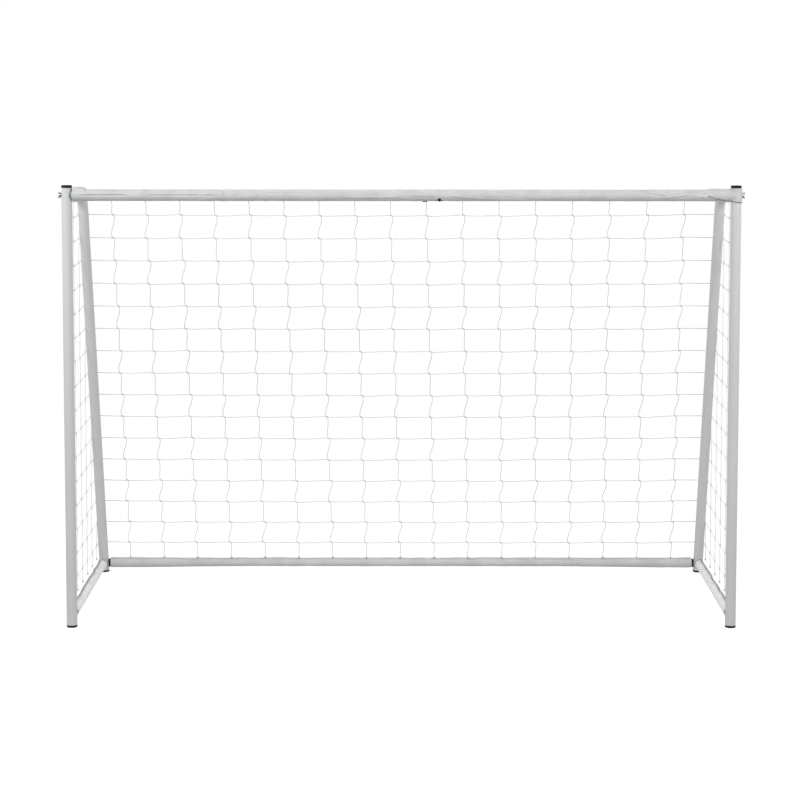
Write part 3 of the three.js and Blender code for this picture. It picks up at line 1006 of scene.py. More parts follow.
@dataclass
class SideFrame:
    """One end of the goal: post, bent stay, ground bar, plastic ends and screws."""

    sizes: GoalSizes
    side: Side
    finishes: Finishes
    cap_head: float = 0.0087
    foot_head: float = 0.008
    arm_screw_depth: float = 0.067
    side_screw_depth: float = 0.044
    collar_radius: float = 0.0165
    collar: float = 0.007
    collar_fillet: float = 0.0011
    foot_plug: float = 0.012

    def build(self) -> None:
        """Builds the side's pieces."""
        for make in (self.post, self.stay, self.side_bar, self.ends, self.screws, self.corner_collar):
            make()

    def keep(self, draft: Draft, piece: str, node: str, finish: bpy.types.Material, slot: Slot) -> None:
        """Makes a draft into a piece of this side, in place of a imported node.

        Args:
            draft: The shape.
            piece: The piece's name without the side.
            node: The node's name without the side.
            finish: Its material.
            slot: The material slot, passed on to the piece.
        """
        word = self.side.word
        draft.piece(f"{word}_{piece}", finish, slot, replaces=[f"{word}_{node}"])

    def tube(self, path: np.ndarray, radius: float, piece: str, node: str,
             *cuts: RoundCope | LevelCut) -> None:
        """Builds one steel tube.

        Args:
            path: Its axis.
            radius: Its radius.
            piece: The piece's name without the side.
            node: The node's name without the side.
            *cuts: How its first and last ends are cut, if they aren't square.
        """
        tube = RoundTube(path, radius, self.sizes.wall, *cuts)
        self.keep(tube.drawn(), piece, node, self.finishes.steel, Slot.STEEL)

    def post_cope(self) -> RoundCope:
        """The cut that fits a tube against the post."""
        size = self.sizes
        return RoundCope(size.post_base(self.side), UP, size.post_radius + size.gap)

    def post(self) -> None:
        """Builds the post's tube."""
        size, base = self.sizes, self.sizes.post_base(self.side)
        path = np.stack([base + UP * z for z in np.linspace(size.post_low, size.post_top, 5)])
        self.tube(path, size.post_radius, "post_tube", "post")

    def stay(self) -> None:
        """Builds the bent stay's tube."""
        size = self.sizes
        path = size.stay_path(self.side, 0.0, 0.0, TUBE_RUN, TUBE_RUN)
        level = LevelCut(self.foot_head + size.gap)
        self.tube(path, size.post_radius, "stay_tube", "back_stay", self.post_cope(), level)

    def side_bar(self) -> None:
        """Builds the ground bar's tube."""
        size = self.sizes
        start = size.post_base(self.side) + UP * size.bar_z
        ends = TUBE_RUN, size.leg_depth(size.bar_z) - TUBE_RUN
        path = np.stack([start + BACK * y for y in np.linspace(*ends, 4)])
        leg = RoundCope(size.leg_foot(self.side), size.leg_up, size.post_radius + size.gap)
        self.tube(path, size.bar_radius, "side_bar_tube", "side_bar", self.post_cope(), leg)

    def ends(self) -> None:
        """Builds the post's cap and foot and the stay's foot."""
        size, base = self.sizes, self.sizes.post_base(self.side)
        bore = size.post_radius - size.wall - size.gap
        cap_seat, foot_seat = base + UP * (size.post_top + size.gap), base + UP * self.foot_head
        cap = EndPlug(size.post_radius, bore, self.cap_head).drawn(cap_seat, UP)
        foot = EndPlug(size.post_radius, bore, self.foot_head).drawn(foot_seat, -UP)
        self.keep(cap, "post_cap_moulding", "post_cap", self.finishes.black, Slot.BLACK_PLASTIC)
        self.keep(foot, "post_foot_moulding", "post_foot", self.finishes.black, Slot.BLACK_PLASTIC)
        self.stay_foot()

    def stay_foot(self) -> None:
        """Builds the stay's foot, a slanted oval head with its plug up the bore."""
        size, up = self.sizes, self.sizes.leg_up
        foot, radius = size.leg_foot(self.side), size.post_radius
        plug = radius - size.wall - 2 * size.gap
        steps = [(radius - 0.0016, 0.0), (radius - 0.0004, 0.0005), (radius, 0.0018),
                 (radius, self.foot_head), (plug, self.foot_head), (plug, self.foot_head + self.foot_plug)]
        turn = np.arange(TUBE_SIDES) * TAU / TUBE_SIDES
        spoke = RIGHT * np.cos(turn)[:, None] + np.cross(up, RIGHT) * np.sin(turn)[:, None]
        rings = []
        for reach, height in steps:
            ring = foot + up * height + spoke * reach
            rings.append(ring + up * ((height - ring[:, 2]) / up[2])[:, None])
        draft = Draft()
        draft.capped(np.array(rings), np.array([height for _, height in steps]))
        self.keep(draft, "stay_foot_moulding", "stay_foot", self.finishes.black, Slot.BLACK_PLASTIC)

    def screws(self) -> None:
        """Builds the lock screws of the arm and the ground bar."""
        size, base = self.sizes, self.sizes.post_base(self.side)
        back = np.array((0.0, math.cos(size.slope), -math.sin(size.slope)))
        down = np.array((0.0, -math.sin(size.slope), -math.cos(size.slope)))
        seat = base + UP * size.arm_z + back * self.arm_screw_depth + down * (size.post_radius + size.gap)
        side_seat = base + UP * size.bar_z + BACK * self.side_screw_depth
        side_seat = side_seat + self.side.out * (size.bar_radius + size.gap)
        arm, bar = LockScrew().drawn(seat, down), LockScrew().drawn(side_seat, self.side.out)
        self.keep(arm, "arm_lock_screw", "arm_screw", self.finishes.zinc, Slot.ZINC)
        self.keep(bar, "side_lock_screw", "side_screw", self.finishes.zinc, Slot.ZINC)

    def corner_collar(self) -> None:
        """Builds the black collar where the rear bar meets the stay."""
        size, draft = self.sizes, Draft()
        inner, outer, long = size.bar_radius + size.gap, self.collar_radius, self.collar
        ring = rounded([(inner, long / 2), (inner, 0), (outer, 0), (outer, long), (inner, long),
                        (inner, long / 2)], self.collar_fillet)
        x = self.side.value * (size.post_x - size.post_radius - 2 * size.gap)
        turned_ring(draft, ring, np.array((x, size.rear_y, size.bar_z)), -self.side.out)
        self.keep(draft, "corner_collar_ring", "corner_collar", self.finishes.black, Slot.BLACK_PLASTIC)


def turned_ring(draft: Draft, corners: Sequence[tuple[float, float]], origin: np.ndarray, axis: np.ndarray,
                sides: int = 48) -> None:
    """Adds a ring whose profile closes on itself.

    Args:
        draft: Where to add it.
        corners: (radius, height) pairs round the section, the last the same as the first.
        origin: The point on the axis at height 0.
        axis: The direction of height.
        sides: Points around it.
    """
    axis = unit(axis)
    spoke = spokes(axis, sides)
    loop = np.stack([origin + axis * height + spoke * radius for radius, height in corners[:-1]], axis=1)
    draft.grid(loop, np.linspace(0, 0.02, loop.shape[1] + 1), np.arange(sides + 1) / sides, looped=True)


@dataclass
class Crossbar:
    """The two halves of the top bar, its snap buttons and their sewn eyelets."""

    sizes: GoalSizes
    finishes: Finishes
    button_offset: float = 0.026
    button_reach: float = 0.0228
    button_radius: float = 0.004
    flange_radius: float = 0.006
    flange_low: float = 0.0128
    flange_high: float = 0.014
    eyelet_lift: float = 0.0214
    eyelet_cord: float = 0.0014
    tack_turn: float = 0.22
    tacks: tuple[float, float] = (-0.0125, 0.0105)
    angles: tuple[tuple[Side, float], ...] = ((Side.LEFT, math.radians(90)), (Side.RIGHT, math.radians(47)))

    def build(self) -> None:
        """Builds the bar's pieces."""
        for side, below in self.angles:
            self.half(side)
            self.button(side, below)
            self.eyelet(side, below)

    def axis(self, x: float) -> np.ndarray:
        """The point on the bar's axis at an x."""
        return np.array((x, self.sizes.post_y, self.sizes.crossbar_z))

    def half(self, side: Side) -> None:
        """Builds one half's tube.

        Args:
            side: Which half.
        """
        size = self.sizes
        near = size.joint_x + (side.value - 1) * size.gap / 2
        far = side.value * (size.post_x - size.post_radius - size.gap)
        path = np.stack([self.axis(x) for x in np.linspace(near, far, 6)])
        tube = RoundTube(path, size.post_radius, size.wall).drawn()
        tube.piece(f"crossbar_{side.word}_tube", self.finishes.steel, Slot.STEEL,
                   replaces=[f"crossbar_{side.word}"])

    def button_way(self, below: float) -> np.ndarray:
        """The direction that a button points in, forward and down."""
        return np.array((0.0, -math.cos(below), -math.sin(below)))

    def button_x(self, side: Side) -> float:
        """Where along the bar a button is."""
        return self.sizes.joint_x + side.value * self.button_offset

    def button(self, side: Side, below: float) -> None:
        """Builds one snap button.

        Args:
            side: Which button.
            below: Its angle below forward.
        """
        dome = rounded([(CENTRE, self.flange_low), (self.flange_radius, self.flange_low),
                        (self.flange_radius, self.flange_high), (self.button_radius, self.flange_high),
                        (self.button_radius, self.button_reach), (CENTRE, self.button_reach)], 0.0016, 6)
        draft = Draft()
        draft.turned(dome, self.axis(self.button_x(side)), self.button_way(below), 32)
        body = Body.LEFT_BUTTON if side is Side.LEFT else Body.RIGHT_BUTTON
        draft.piece(f"snap_button_{side.word}", self.finishes.dark, Slot.DARK_STEEL, body,
                    [f"crossbar_button_{side.word}"])

    def eyelet(self, side: Side, below: float) -> None:
        """Builds the oval buttonhole stitching of the sleeve round a button.

        Args:
            side: Which button.
            below: Its angle below forward.
        """
        long, tall = (0.0072, 0.0056) if side is Side.LEFT else (0.0052, 0.0066)
        turn = np.linspace(0, TAU, 41)
        around = below + tall * np.sin(turn) / self.eyelet_lift
        lift = self.eyelet_lift + 0.0009
        centre = self.axis(self.button_x(side))
        oval = [long * np.cos(turn), -np.cos(around) * lift, -np.sin(around) * lift]
        path = centre + np.stack(oval, axis=1)
        draft = Draft()
        rings = rings_along(path, self.eyelet_cord, ROPE_SIDES)[:-1]
        draft.grid(rings, np.arange(ROPE_SIDES + 1) / ROPE_SIDES, lengths_along(path), looped=True)
        if side is Side.RIGHT:
            tack, way = Draft(), self.button_way(below + self.tack_turn)
            knob = rounded([(CENTRE, -0.0015), (0.0019, -0.0015), (0.0019, 0.001), (CENTRE, 0.001)], 0.0008)
            tack.turned(knob, np.zeros(3), UP, 16)
            places = np.stack([centre + RIGHT * x + way * lift for x in self.tacks])
            turns = np.stack([RIGHT, np.cross(way, RIGHT), way], axis=1)
            draft.copies(tack, places, np.stack([turns, turns]))
        draft.piece(f"buttonhole_{side.word}", self.finishes.dark_thread, Slot.FABRIC)


@dataclass
class WingBolt:
    """A bolt turned by hand, with two rounded wings, and its washer."""

    sizes: GoalSizes
    side: Side
    finishes: Finishes
    washer: float = 0.0016
    washer_radius: float = 0.0085
    shank: float = 0.004
    length: float = 0.064
    hub: float = 0.0068
    hub_radius: float = 0.0072
    wing: float = 0.0036
    wing_fillet: float = 0.0009
    bore: float = 0.0044
    threads: int = 26
    thread_pitch: float = 0.00125
    outline: tuple[tuple[float, float], ...] = (
        (0.6, 1.5), (0.7, 5.2), (1.4, 8.4), (3.4, 10.6), (6.4, 11.2), (9.2, 10.3), (10.4, 8.2), (10.2, 6.0),
        (9.0, 4.6), (7.6, 3.4), (6.2, 1.5))
    outline_points: int = 44

    def build(self) -> None:
        """Builds the bolt and its washer."""
        size, out = self.sizes, self.side.out
        seat = size.post_base(self.side) + UP * size.crossbar_z + out * (size.post_radius + size.gap)
        disc = Draft()
        ring = rounded([(self.bore, self.washer / 4), (self.bore, 0), (self.washer_radius, 0),
                        (self.washer_radius, self.washer), (self.bore, self.washer),
                        (self.bore, self.washer / 4)], self.washer / 4)
        turned_ring(disc, ring, seat, out)
        disc.piece(f"{self.side.word}_bolt_washer_disc", self.finishes.zinc, Slot.ZINC,
                   replaces=[f"{self.side.word}_bolt_washer"])
        head = seat + out * (self.washer + size.gap)
        bolt = Draft()
        self.stem(bolt, head)
        for way in (UP, -UP):
            self.blade(bolt, head, way)
        body = Body.LEFT_BOLT if self.side is Side.LEFT else Body.RIGHT_BOLT
        bolt.piece(f"{self.side.word}_wing_bolt_head", self.finishes.zinc, Slot.ZINC, body,
                   [f"{self.side.word}_wing_bolt"])

    def stem(self, draft: Draft, head: np.ndarray) -> None:
        """Adds the hub and the threaded shank.

        Args:
            draft: Where to add them.
            head: The middle of the hub's underside.
        """
        thread = []
        for k in range(self.threads):
            height = -self.length + 0.001 + k * self.thread_pitch
            thread += [(self.shank - 0.0005, height), (self.shank, height + 0.0005)]
        hub = rounded([(self.shank, -0.001), (self.shank, 0.0), (self.hub_radius, 0.0),
                       (self.hub_radius * 0.8, self.hub), (CENTRE, self.hub + 0.0004)], 0.0012)
        draft.turned([(CENTRE, -self.length), *thread, *hub], head, self.side.out, 40)

    def blade(self, draft: Draft, head: np.ndarray, way: np.ndarray) -> None:
        """Adds one wing, an ear-shaped plate with rounded edges.

        Args:
            draft: Where to add it.
            head: The middle of the hub's underside.
            way: The direction from the axis to the wing.
        """
        edge = resampled(np.array(self.outline) * MM, self.outline_points)
        for _ in range(2):
            edge[1:-1] = (edge[:-2] + edge[1:-1] * 2 + edge[2:]) / 4
        inward = unit(edge.mean(axis=0) - edge)
        thick, fillet = self.wing / 2, self.wing_fillet
        flat = np.cross(self.side.out, way)
        layers = []
        for height, inset in ((-thick, fillet), (-thick + fillet * 0.3, fillet * 0.3), (-thick + fillet, 0),
                              (thick - fillet, 0), (thick - fillet * 0.3, fillet * 0.3), (thick, fillet)):
            line = edge + inward * inset
            layers.append(head + self.side.out * line[:, :1] + way * line[:, 1:] + flat * height)
        draft.capped(np.array(layers), np.arange(len(layers)) * MM)


@dataclass
class RearBar:
    """The two halves of the ground bar behind the goal."""

    sizes: GoalSizes
    finishes: Finishes

    def build(self) -> None:
        """Builds both halves."""
        size = self.sizes
        for side in Side:
            line = np.linspace(size.gap / 2, size.post_x - TUBE_RUN, 6) * side.value
            path = np.stack([np.array((x, size.rear_y, size.bar_z)) for x in line])
            cope = RoundCope(size.leg_foot(side), size.leg_up, size.post_radius + size.gap)
            tube = RoundTube(path, size.bar_radius, size.wall, None, cope).drawn()
            tube.piece(f"rear_bar_{side.word}_tube", self.finishes.steel, Slot.STEEL,
                       replaces=[f"rear_bar_{side.word}"])


# ---- Net ----


def knot_template(string: float, coil: float, length: float) -> Draft:
    """One knot, a cord coiled on itself along its own x axis.

    Args:
        string: The cord's radius.
        coil: The coil's radius.
        length: The coil's length.

    Returns:
        The knot as a draft about the origin.
    """
    share = np.linspace(0, 1, 19)
    turn = share * TAU * 1.9
    reach = coil * (0.55 + 0.45 * np.sin(share * math.pi))
    path = np.stack([(share - 0.5) * length, reach * np.cos(turn), reach * np.sin(turn) * 0.85], axis=1)
    draft = Draft()
    draft.tube(path, string, STRING_SIDES)
    return draft


def string_path(knots: np.ndarray, lead: np.ndarray, leave: np.ndarray, droop: np.ndarray,
                samples: int = 7) -> np.ndarray:
    """A string that crosses each knot aslant and bows between them.

    Args:
        knots: The knots' middles, one per row.
        lead: Half of the slanted way across a knot.
        leave: The direction and length of a knot's pull on the string.
        droop: How the middle of each span hangs.
        samples: Points in a span.

    Returns:
        The string's centreline.
    """
    share = np.linspace(0, 1, samples)[:, None]
    spans = []
    for start, end in zip(knots[:-1], knots[1:]):
        first, last = start + lead, end - lead
        spans.append(bow(first, first + leave, last - leave, last, share) + droop * 4 * share * (1 - share))
    return np.concatenate([knots[:1], *spans, knots[-1:]])


@dataclass
class NetMaker:
    """The cords and knots that every panel is made of."""

    sizes: GoalSizes
    finishes: Finishes
    string: float = 0.0014
    rope: float = 0.002
    stand_off: float = 0.0206
    mesh_height: float = 0.0889
    top_row: float = 1.455
    rows: int = 16
    slant: float = 0.0042
    drop: float = 0.0032
    knot_coil: float = 0.0023
    knot_length: float = 0.0078

    def row_heights(self) -> np.ndarray:
        """The heights of the rows on the slope, from the top."""
        return self.top_row - np.arange(self.rows) * self.mesh_height

    def tie(self, draft: Draft, places: np.ndarray, along: np.ndarray, normal: np.ndarray,
            size: float = 1.0, jitter: float = 0.25, seed: int = 5) -> None:
        """Adds knots to a draft.

        Args:
            draft: Where to add them.
            places: The knots' middles.
            along: The direction of each knot, or of all.
            normal: The panel's normal at each, or at all.
            size: The scale on a plain knot.
            jitter: The most that a knot is turned, in radians.
            seed: The draw's seed.
        """
        rng = np.random.default_rng(seed)
        template = knot_template(self.string * 1.15 * size, self.knot_coil * size, self.knot_length * size)
        along = np.broadcast_to(unit(np.asarray(along, float)), places.shape)
        normal = np.broadcast_to(np.asarray(normal, float), places.shape)
        side = unit(np.cross(normal, along))
        swing = rng.uniform(-jitter, jitter, (len(places), 1))
        first = unit(along * np.cos(swing) + side * np.sin(swing))
        third = unit(normal - np.sum(normal * first, axis=1, keepdims=True) * first)
        turns = np.stack([first, np.cross(third, first), third], axis=2)
        draft.copies(template, places, turns)


@dataclass
class BackNet:
    """The net over the top and down the slope, hung from the crossbar's sleeve to the rear bar's."""

    maker: NetMaker
    columns: int = 17
    roof_front: float = 0.036
    foot: float = 0.056
    roof_sag: float = 0.014
    slope_sag: float = 0.008
    half_width: float = 1.19
    zigzag: float = 0.0032
    uneven: float = 0.0014
    stagger: float = 0.0008
    handle: float = 0.36
    lean: float = 0.0035
    seed: int = 11
    line: np.ndarray = field(init=False)
    travelled: np.ndarray = field(init=False)

    def __post_init__(self) -> None:
        """Draws the net's line over the stays, (depth, height), and the way travelled along it."""
        line = self.maker.sizes.stay_profile(self.maker.stand_off, self.foot, self.roof_front, 40)
        self.line = resampled(line, 900)
        self.travelled = lengths_along(self.line)

    def build(self) -> None:
        """Builds the two cross panels."""
        slope_rows = np.array([self.at_height(z) for z in self.maker.row_heights()])
        pitch = self.maker.mesh_height / math.cos(self.maker.sizes.lean)
        roof_rows = slope_rows[0] - pitch * np.arange(1, 12)
        roof_rows = np.sort(roof_rows[roof_rows > 0.03])
        seam = slope_rows[0] - pitch * 0.5
        self.panel("net_roof", np.concatenate(([0.0], roof_rows, [seam])))
        self.panel("net_back", np.concatenate(([seam], slope_rows, self.travelled[-1:])))

    def at_height(self, height: float) -> float:
        """The way travelled where the line comes down to a height.

        Args:
            height: The height.

        Returns:
            The way travelled.
        """
        below = np.argmax(self.line[:, 1] < height)
        above, under = self.line[below - 1, 1], self.line[below, 1]
        before, after = self.travelled[below - 1], self.travelled[below]
        return before + (above - height) / (above - under) * (after - before)

    def column_x(self, height: np.ndarray) -> np.ndarray:
        """Each upright string's x, a little closer together at the top than at the foot.

        Args:
            height: The heights.

        Returns:
            An array (heights, columns).
        """
        index = np.arange(self.columns)
        top = -1.0765 + 0.1259 * index + 0.000446 * index**2
        foot = -1.077 + 0.13445 * index
        share = np.clip(height / 1.5, 0, 1)[:, None]
        return foot * (1 - share) + top * share

    def surface(self, way: np.ndarray, x: np.ndarray) -> np.ndarray:
        """Points on the sagging net.

        Args:
            way: The way travelled at each point.
            x: The x of each point.

        Returns:
            The points.
        """
        depth, height = (np.interp(way, self.travelled, self.line[:, k]) for k in (0, 1))
        slope = np.gradient(self.line, self.travelled, axis=0)
        out = -np.interp(way, self.travelled, slope[:, 1])
        up = np.interp(way, self.travelled, slope[:, 0])
        roof = ramp(height, 1.3, 1.5)
        ends = ramp(way, 0, 0.12) * ramp(self.travelled[-1] - way, 0, 0.3)
        sag = self.slope_sag + (self.roof_sag - self.slope_sag) * roof
        sag = sag * ends * (1 - (x / self.half_width) ** 2)
        return np.stack([x, self.maker.sizes.post_y + depth - out * sag, height - up * sag], axis=-1)

    def panel(self, node: str, level: np.ndarray) -> None:
        """Builds one panel's rows, its stretch of the columns and its knots.

        Args:
            node: The CAD node it stands for.
            level: The way travelled at its first edge, each row and its last edge.
        """
        roof, count = node == "net_roof", len(level)
        rng = np.random.default_rng(self.seed + count - 2)
        maker = self.maker
        x = self.column_x(np.interp(level, self.travelled, self.line[:, 1]))
        row, column = np.meshgrid(np.arange(count), np.arange(self.columns), indexing="ij")
        parity = row + (1 if roof and count % 2 else 0)
        inner = ((row > 0) & (row < count - 1)).astype(float)
        shift = np.where(parity % 2, 1, -1) * self.zigzag
        x = x + inner * (shift + rng.uniform(-self.uneven, self.uneven, x.shape))
        lift = inner * (np.where(column % 2, 1, -1) * self.stagger + rng.uniform(-0.0009, 0.0009, x.shape))
        way = level[:, None] + lift
        knots = self.surface(way, x)
        ahead = unit(self.surface(way + 0.004, x) - self.surface(way - 0.004, x))
        draft = Draft()
        for k in range(self.columns):
            draft.tube(self.column_path(knots[:, k], ahead[:, k]), maker.string, STRING_SIDES)
        for k in range(1, count - 1):
            self.row(draft, knots[k], ahead[k], way[k, 0], rng)
        down = ahead[1:-1].reshape(-1, 3)
        along = RIGHT * maker.slant + down * maker.drop
        maker.tie(draft, knots[1:-1].reshape(-1, 3), along, np.cross(RIGHT, -down), seed=self.seed)
        maker.tie(draft, knots[0 if roof else -1], RIGHT, UP, 1.15, 0.5, self.seed + 1)
        draft.piece(f"{node}_strings", maker.finishes.cord, Slot.CORD, replaces=[node], sharp=70)

    def column_path(self, knots: np.ndarray, ahead: np.ndarray) -> np.ndarray:
        """One upright string's centreline through its knots.

        Args:
            knots: The knots.
            ahead: The direction down the net at each.

        Returns:
            The centreline.
        """
        lead = RIGHT * self.maker.slant + ahead * self.maker.drop
        lead[0] = lead[-1] = 0
        share = np.linspace(0, 1, 9)[:, None]
        spans = []
        for k in range(len(knots) - 1):
            first, last = knots[k] + lead[k], knots[k + 1] - lead[k + 1]
            pull = np.linalg.norm(last - first) * self.handle
            one = first + ahead[k] * pull + RIGHT * self.lean
            two = last - ahead[k + 1] * pull - RIGHT * self.lean
            spans.append(bow(first, one, two, last, share))
        return np.concatenate(spans)

    def row(self, draft: Draft, knots: np.ndarray, ahead: np.ndarray, way: float,
            rng: np.random.Generator) -> None:
        """Adds one level string, from the rope on one stay to the rope on the other.

        Args:
            draft: Where to add it.
            knots: The row's knots.
            ahead: The direction down the net at each.
            way: The way travelled at this row.
            rng: The draw for small differences.
        """
        maker, size = self.maker, self.maker.sizes
        over = unit(np.cross(-ahead[0], RIGHT))
        turn = np.linspace(0, math.pi / 4, 4)[:, None]
        ends = []
        for side in Side:
            touch = self.surface(np.array([way]), np.array([side.value * size.post_x]))[0]
            axis = touch - over * maker.stand_off
            ends.append(axis + maker.stand_off * (over * np.cos(turn) + side.out * np.sin(turn)))
        down = ahead.mean(axis=0)
        lead = RIGHT * maker.slant + down * maker.drop * 0.55
        middle = string_path(knots, lead, RIGHT * 0.03 - down * rng.uniform(-0.0006, 0.0012), down * 0.0012)
        draft.tube(np.concatenate([ends[0][::-1], middle[1:-1], ends[1]]), maker.string, STRING_SIDES)
        for end, side in zip(ends, Side):
            maker.tie(draft, end[-1:], -size.leg_up, side.out, 1.0, 0.3, self.seed + 3)


@dataclass
class SideNet:
    """The net on one side, with the rope along its sloping edge and the one behind the post."""

    maker: NetMaker
    side: Side
    front: float = 0.03
    pitch: float = 0.1255
    foot: float = 0.066
    zigzag: float = 0.0028
    hang: float = 0.0025
    stay_margin: float = 0.035
    arm_lift: float = 0.0145
    stay_lift: float = 0.049
    seed: int = 23

    def build(self) -> None:
        """Builds the strings, knots and ropes."""
        maker, size = self.maker, self.maker.sizes
        rng = np.random.default_rng(self.seed + self.side.value)
        x = self.side.value * (size.post_x + maker.stand_off)
        heights = maker.row_heights()
        depths = self.front + self.pitch * np.arange(1, 7)
        draft = Draft()
        knots: dict[tuple[int, int], np.ndarray] = {}
        for j, z in enumerate(heights):
            for k, depth in enumerate(depths):
                if depth < size.leg_depth(z) - self.stay_margin:
                    shift = (self.zigzag if j % 2 else -self.zigzag) + rng.uniform(-0.0015, 0.0015)
                    hang = -self.hang * math.sin(math.pi * depth / size.leg_depth(z))
                    height = z + hang + rng.uniform(-0.0008, 0.0008)
                    knots[j, k] = np.array((x, size.post_y + depth + shift, height))
        lead = BACK * maker.slant - UP * maker.drop
        for j, z in enumerate(heights):
            self.row(draft, [knots[j, k] for k in range(len(depths)) if (j, k) in knots], z, x, rng)
        for k, depth in enumerate(depths):
            column = [knots[j, k] for j in range(maker.rows) if (j, k) in knots]
            self.column(draft, column, depth, x)
        places = np.array(list(knots.values()))
        maker.tie(draft, places, lead, self.side.out, seed=self.seed)
        # The side strings use the brighter copy of the cord, painted light on the side panels.
        draft.piece(f"net_{self.side.word}_strings", maker.finishes.side_cord_painted_lit, Slot.CORD,
                    replaces=[f"net_{self.side.word}"], sharp=70)
        self.ropes(x)

    def row(self, draft: Draft, knots: list[np.ndarray], z: float, x: float,
            rng: np.random.Generator) -> None:
        """Adds one level string, from the sloping rope to the rope behind the post.

        Args:
            draft: Where to add it.
            knots: The row's knots, from the front.
            z: Its height.
            x: The panel's x.
            rng: The draw for small differences.
        """
        maker, size = self.maker, self.maker.sizes
        turn = np.linspace(math.pi / 4, math.pi / 2, 4)
        depth = size.leg_depth(z) + maker.stand_off / math.cos(size.lean) * np.cos(turn)
        wrap = np.stack([np.full(4, 0.0), size.post_y + depth, np.full(4, z)], axis=1)
        wrap[:, 0] = self.side.value * (size.post_x + maker.stand_off * np.sin(turn))
        front = np.array((x, size.post_y + self.front, z + rng.uniform(-0.004, 0.004)))
        line = np.array([front, *knots, wrap[-1]])
        path = string_path(line, BACK * maker.slant - UP * maker.drop * 0.5, BACK * 0.02, -UP * 0.0022)
        draft.tube(np.concatenate([path, wrap[::-1][1:]]), maker.string, STRING_SIDES)
        maker.tie(draft, front[None], UP, self.side.out, 1.2, 0.4, self.seed + 7)

    def column(self, draft: Draft, knots: list[np.ndarray], depth: float, x: float) -> None:
        """Adds one upright string, from the slope or the arm down to the ground bar's sleeve.

        Args:
            draft: Where to add it.
            knots: Its knots, from the top.
            depth: How far it is behind the post.
            x: The panel's x.
        """
        maker, size = self.maker, self.maker.sizes
        arm = size.arm_z - depth * math.tan(size.slope) + self.arm_lift
        slope = (size.stay_depth - depth) / math.tan(size.lean) + self.stay_lift
        top = np.array((x - self.side.value * 0.0041, size.post_y + depth, min(arm, slope)))
        foot = np.array((x, size.post_y + depth, self.foot))
        line = np.array([top, *knots, foot])
        lead = BACK * maker.slant - UP * maker.drop
        path = string_path(line, lead, -UP * 0.03 + BACK * 0.003, UP * 0, 8)
        draft.tube(path, maker.string, STRING_SIDES)
        maker.tie(draft, np.array([top, foot]), BACK, self.side.out, 1.25, 0.4, self.seed + 9)

    def ropes(self, x: float) -> None:
        """Builds the edge ropes: along the stay, over the arm, and down behind the post.

        Args:
            x: The panel's x.
        """
        maker, size = self.maker, self.maker.sizes
        reach = (size.post_radius + size.gap + maker.rope) * math.sqrt(0.5)
        slope = resampled(size.stay_path(self.side, reach, reach, self.foot, self.front), 120)
        top = size.arm_z - self.front * math.tan(size.slope) + 0.012
        down = np.linspace(0, 1, 60)[:, None]
        post = np.array((x, size.post_y + self.front, top)) * (1 - down)
        post = post + np.array((x, size.post_y + self.front + 0.012, self.foot)) * down
        post = post + BACK * 0.004 * np.sin(down * math.pi * 5)
        draft = Draft()
        for rope in (slope, post):
            draft.tube(rope, maker.rope, ROPE_SIDES)
        ties = np.array([slope[0], slope[-1], post[0], post[-1]])
        maker.tie(draft, ties, BACK, self.side.out, 1.7, 0.3, self.seed + 2)
        draft.piece(f"net_{self.side.word}_edge_ropes", maker.finishes.cord, Slot.CORD, sharp=70)


# ---- Sleeves ----


@dataclass(frozen=True)
class Crease:
    """One crease in a sleeve: from one place along the bar and angle round it to another."""

    start: float
    start_angle: float
    end: float
    end_angle: float
    height: float = 0.0018
    width: float = 0.0019

    def relief(self, along: np.ndarray, around: np.ndarray) -> np.ndarray:
        """How far the crease lifts the cloth.

        Args:
            along: Distance along the bar.
            around: Distance round it, from level forward, upwards.

        Returns:
            The lift, with the hollow beside the ridge.
        """
        first = np.array((self.start, math.radians(self.start_angle) * CREASE_RADIUS))
        last = np.array((self.end, math.radians(self.end_angle) * CREASE_RADIUS))
        span = last - first
        share = ((along - first[0]) * span[0] + (around - first[1]) * span[1]) / (span @ span)
        held = np.clip(share, 0, 1)
        away = np.hypot(along - first[0] - span[0] * held, around - first[1] - span[1] * held)
        above = np.sign(around - first[1] - span[1] * held)
        ridge = np.exp(-away / self.width)
        hollow = np.exp(-(((above * away + 1.7 * self.width) / (0.9 * self.width)) ** 2))
        ends = ramp(held, 0, 0.12) * ramp(1 - held, 0, 0.12)
        return self.height * (ridge - 0.75 * hollow) * (0.2 + 0.8 * ends)


@dataclass(frozen=True)
class Bunch:
    """A stretch where the cloth is pushed together on top of the bar."""

    start: float
    end: float
    fade: float
    height: float
    rucks: float = 900.0

    def relief(self, along: np.ndarray, around: np.ndarray) -> np.ndarray:
        """How far the bunch lifts the cloth.

        Args:
            along: Distance along the bar.
            around: Distance round it, from level forward, upwards.

        Returns:
            The lift.
        """
        inside = ramp(along, self.start - self.fade * 0.2, self.start)
        inside = inside * ramp(self.end + self.fade - along, 0, self.fade)
        angle = around / CREASE_RADIUS
        top = np.exp(-(((angle - math.pi / 2) / 0.75) ** 2))
        rucks = 0.82 + 0.18 * np.sin(along * self.rucks + angle * 2.0)
        return self.height * inside * top * rucks


@dataclass(frozen=True)
class Opening:
    """An oval hole in a sleeve, by its middle along and round the bar and its half sizes."""

    along: float
    around: float
    half_long: float
    half_tall: float

    def nearness(self, along: np.ndarray, around: np.ndarray) -> np.ndarray:
        """The distance from the middle, as a share of the oval's size."""
        return np.hypot((along - self.along) / self.half_long, (around - self.around) / self.half_tall)


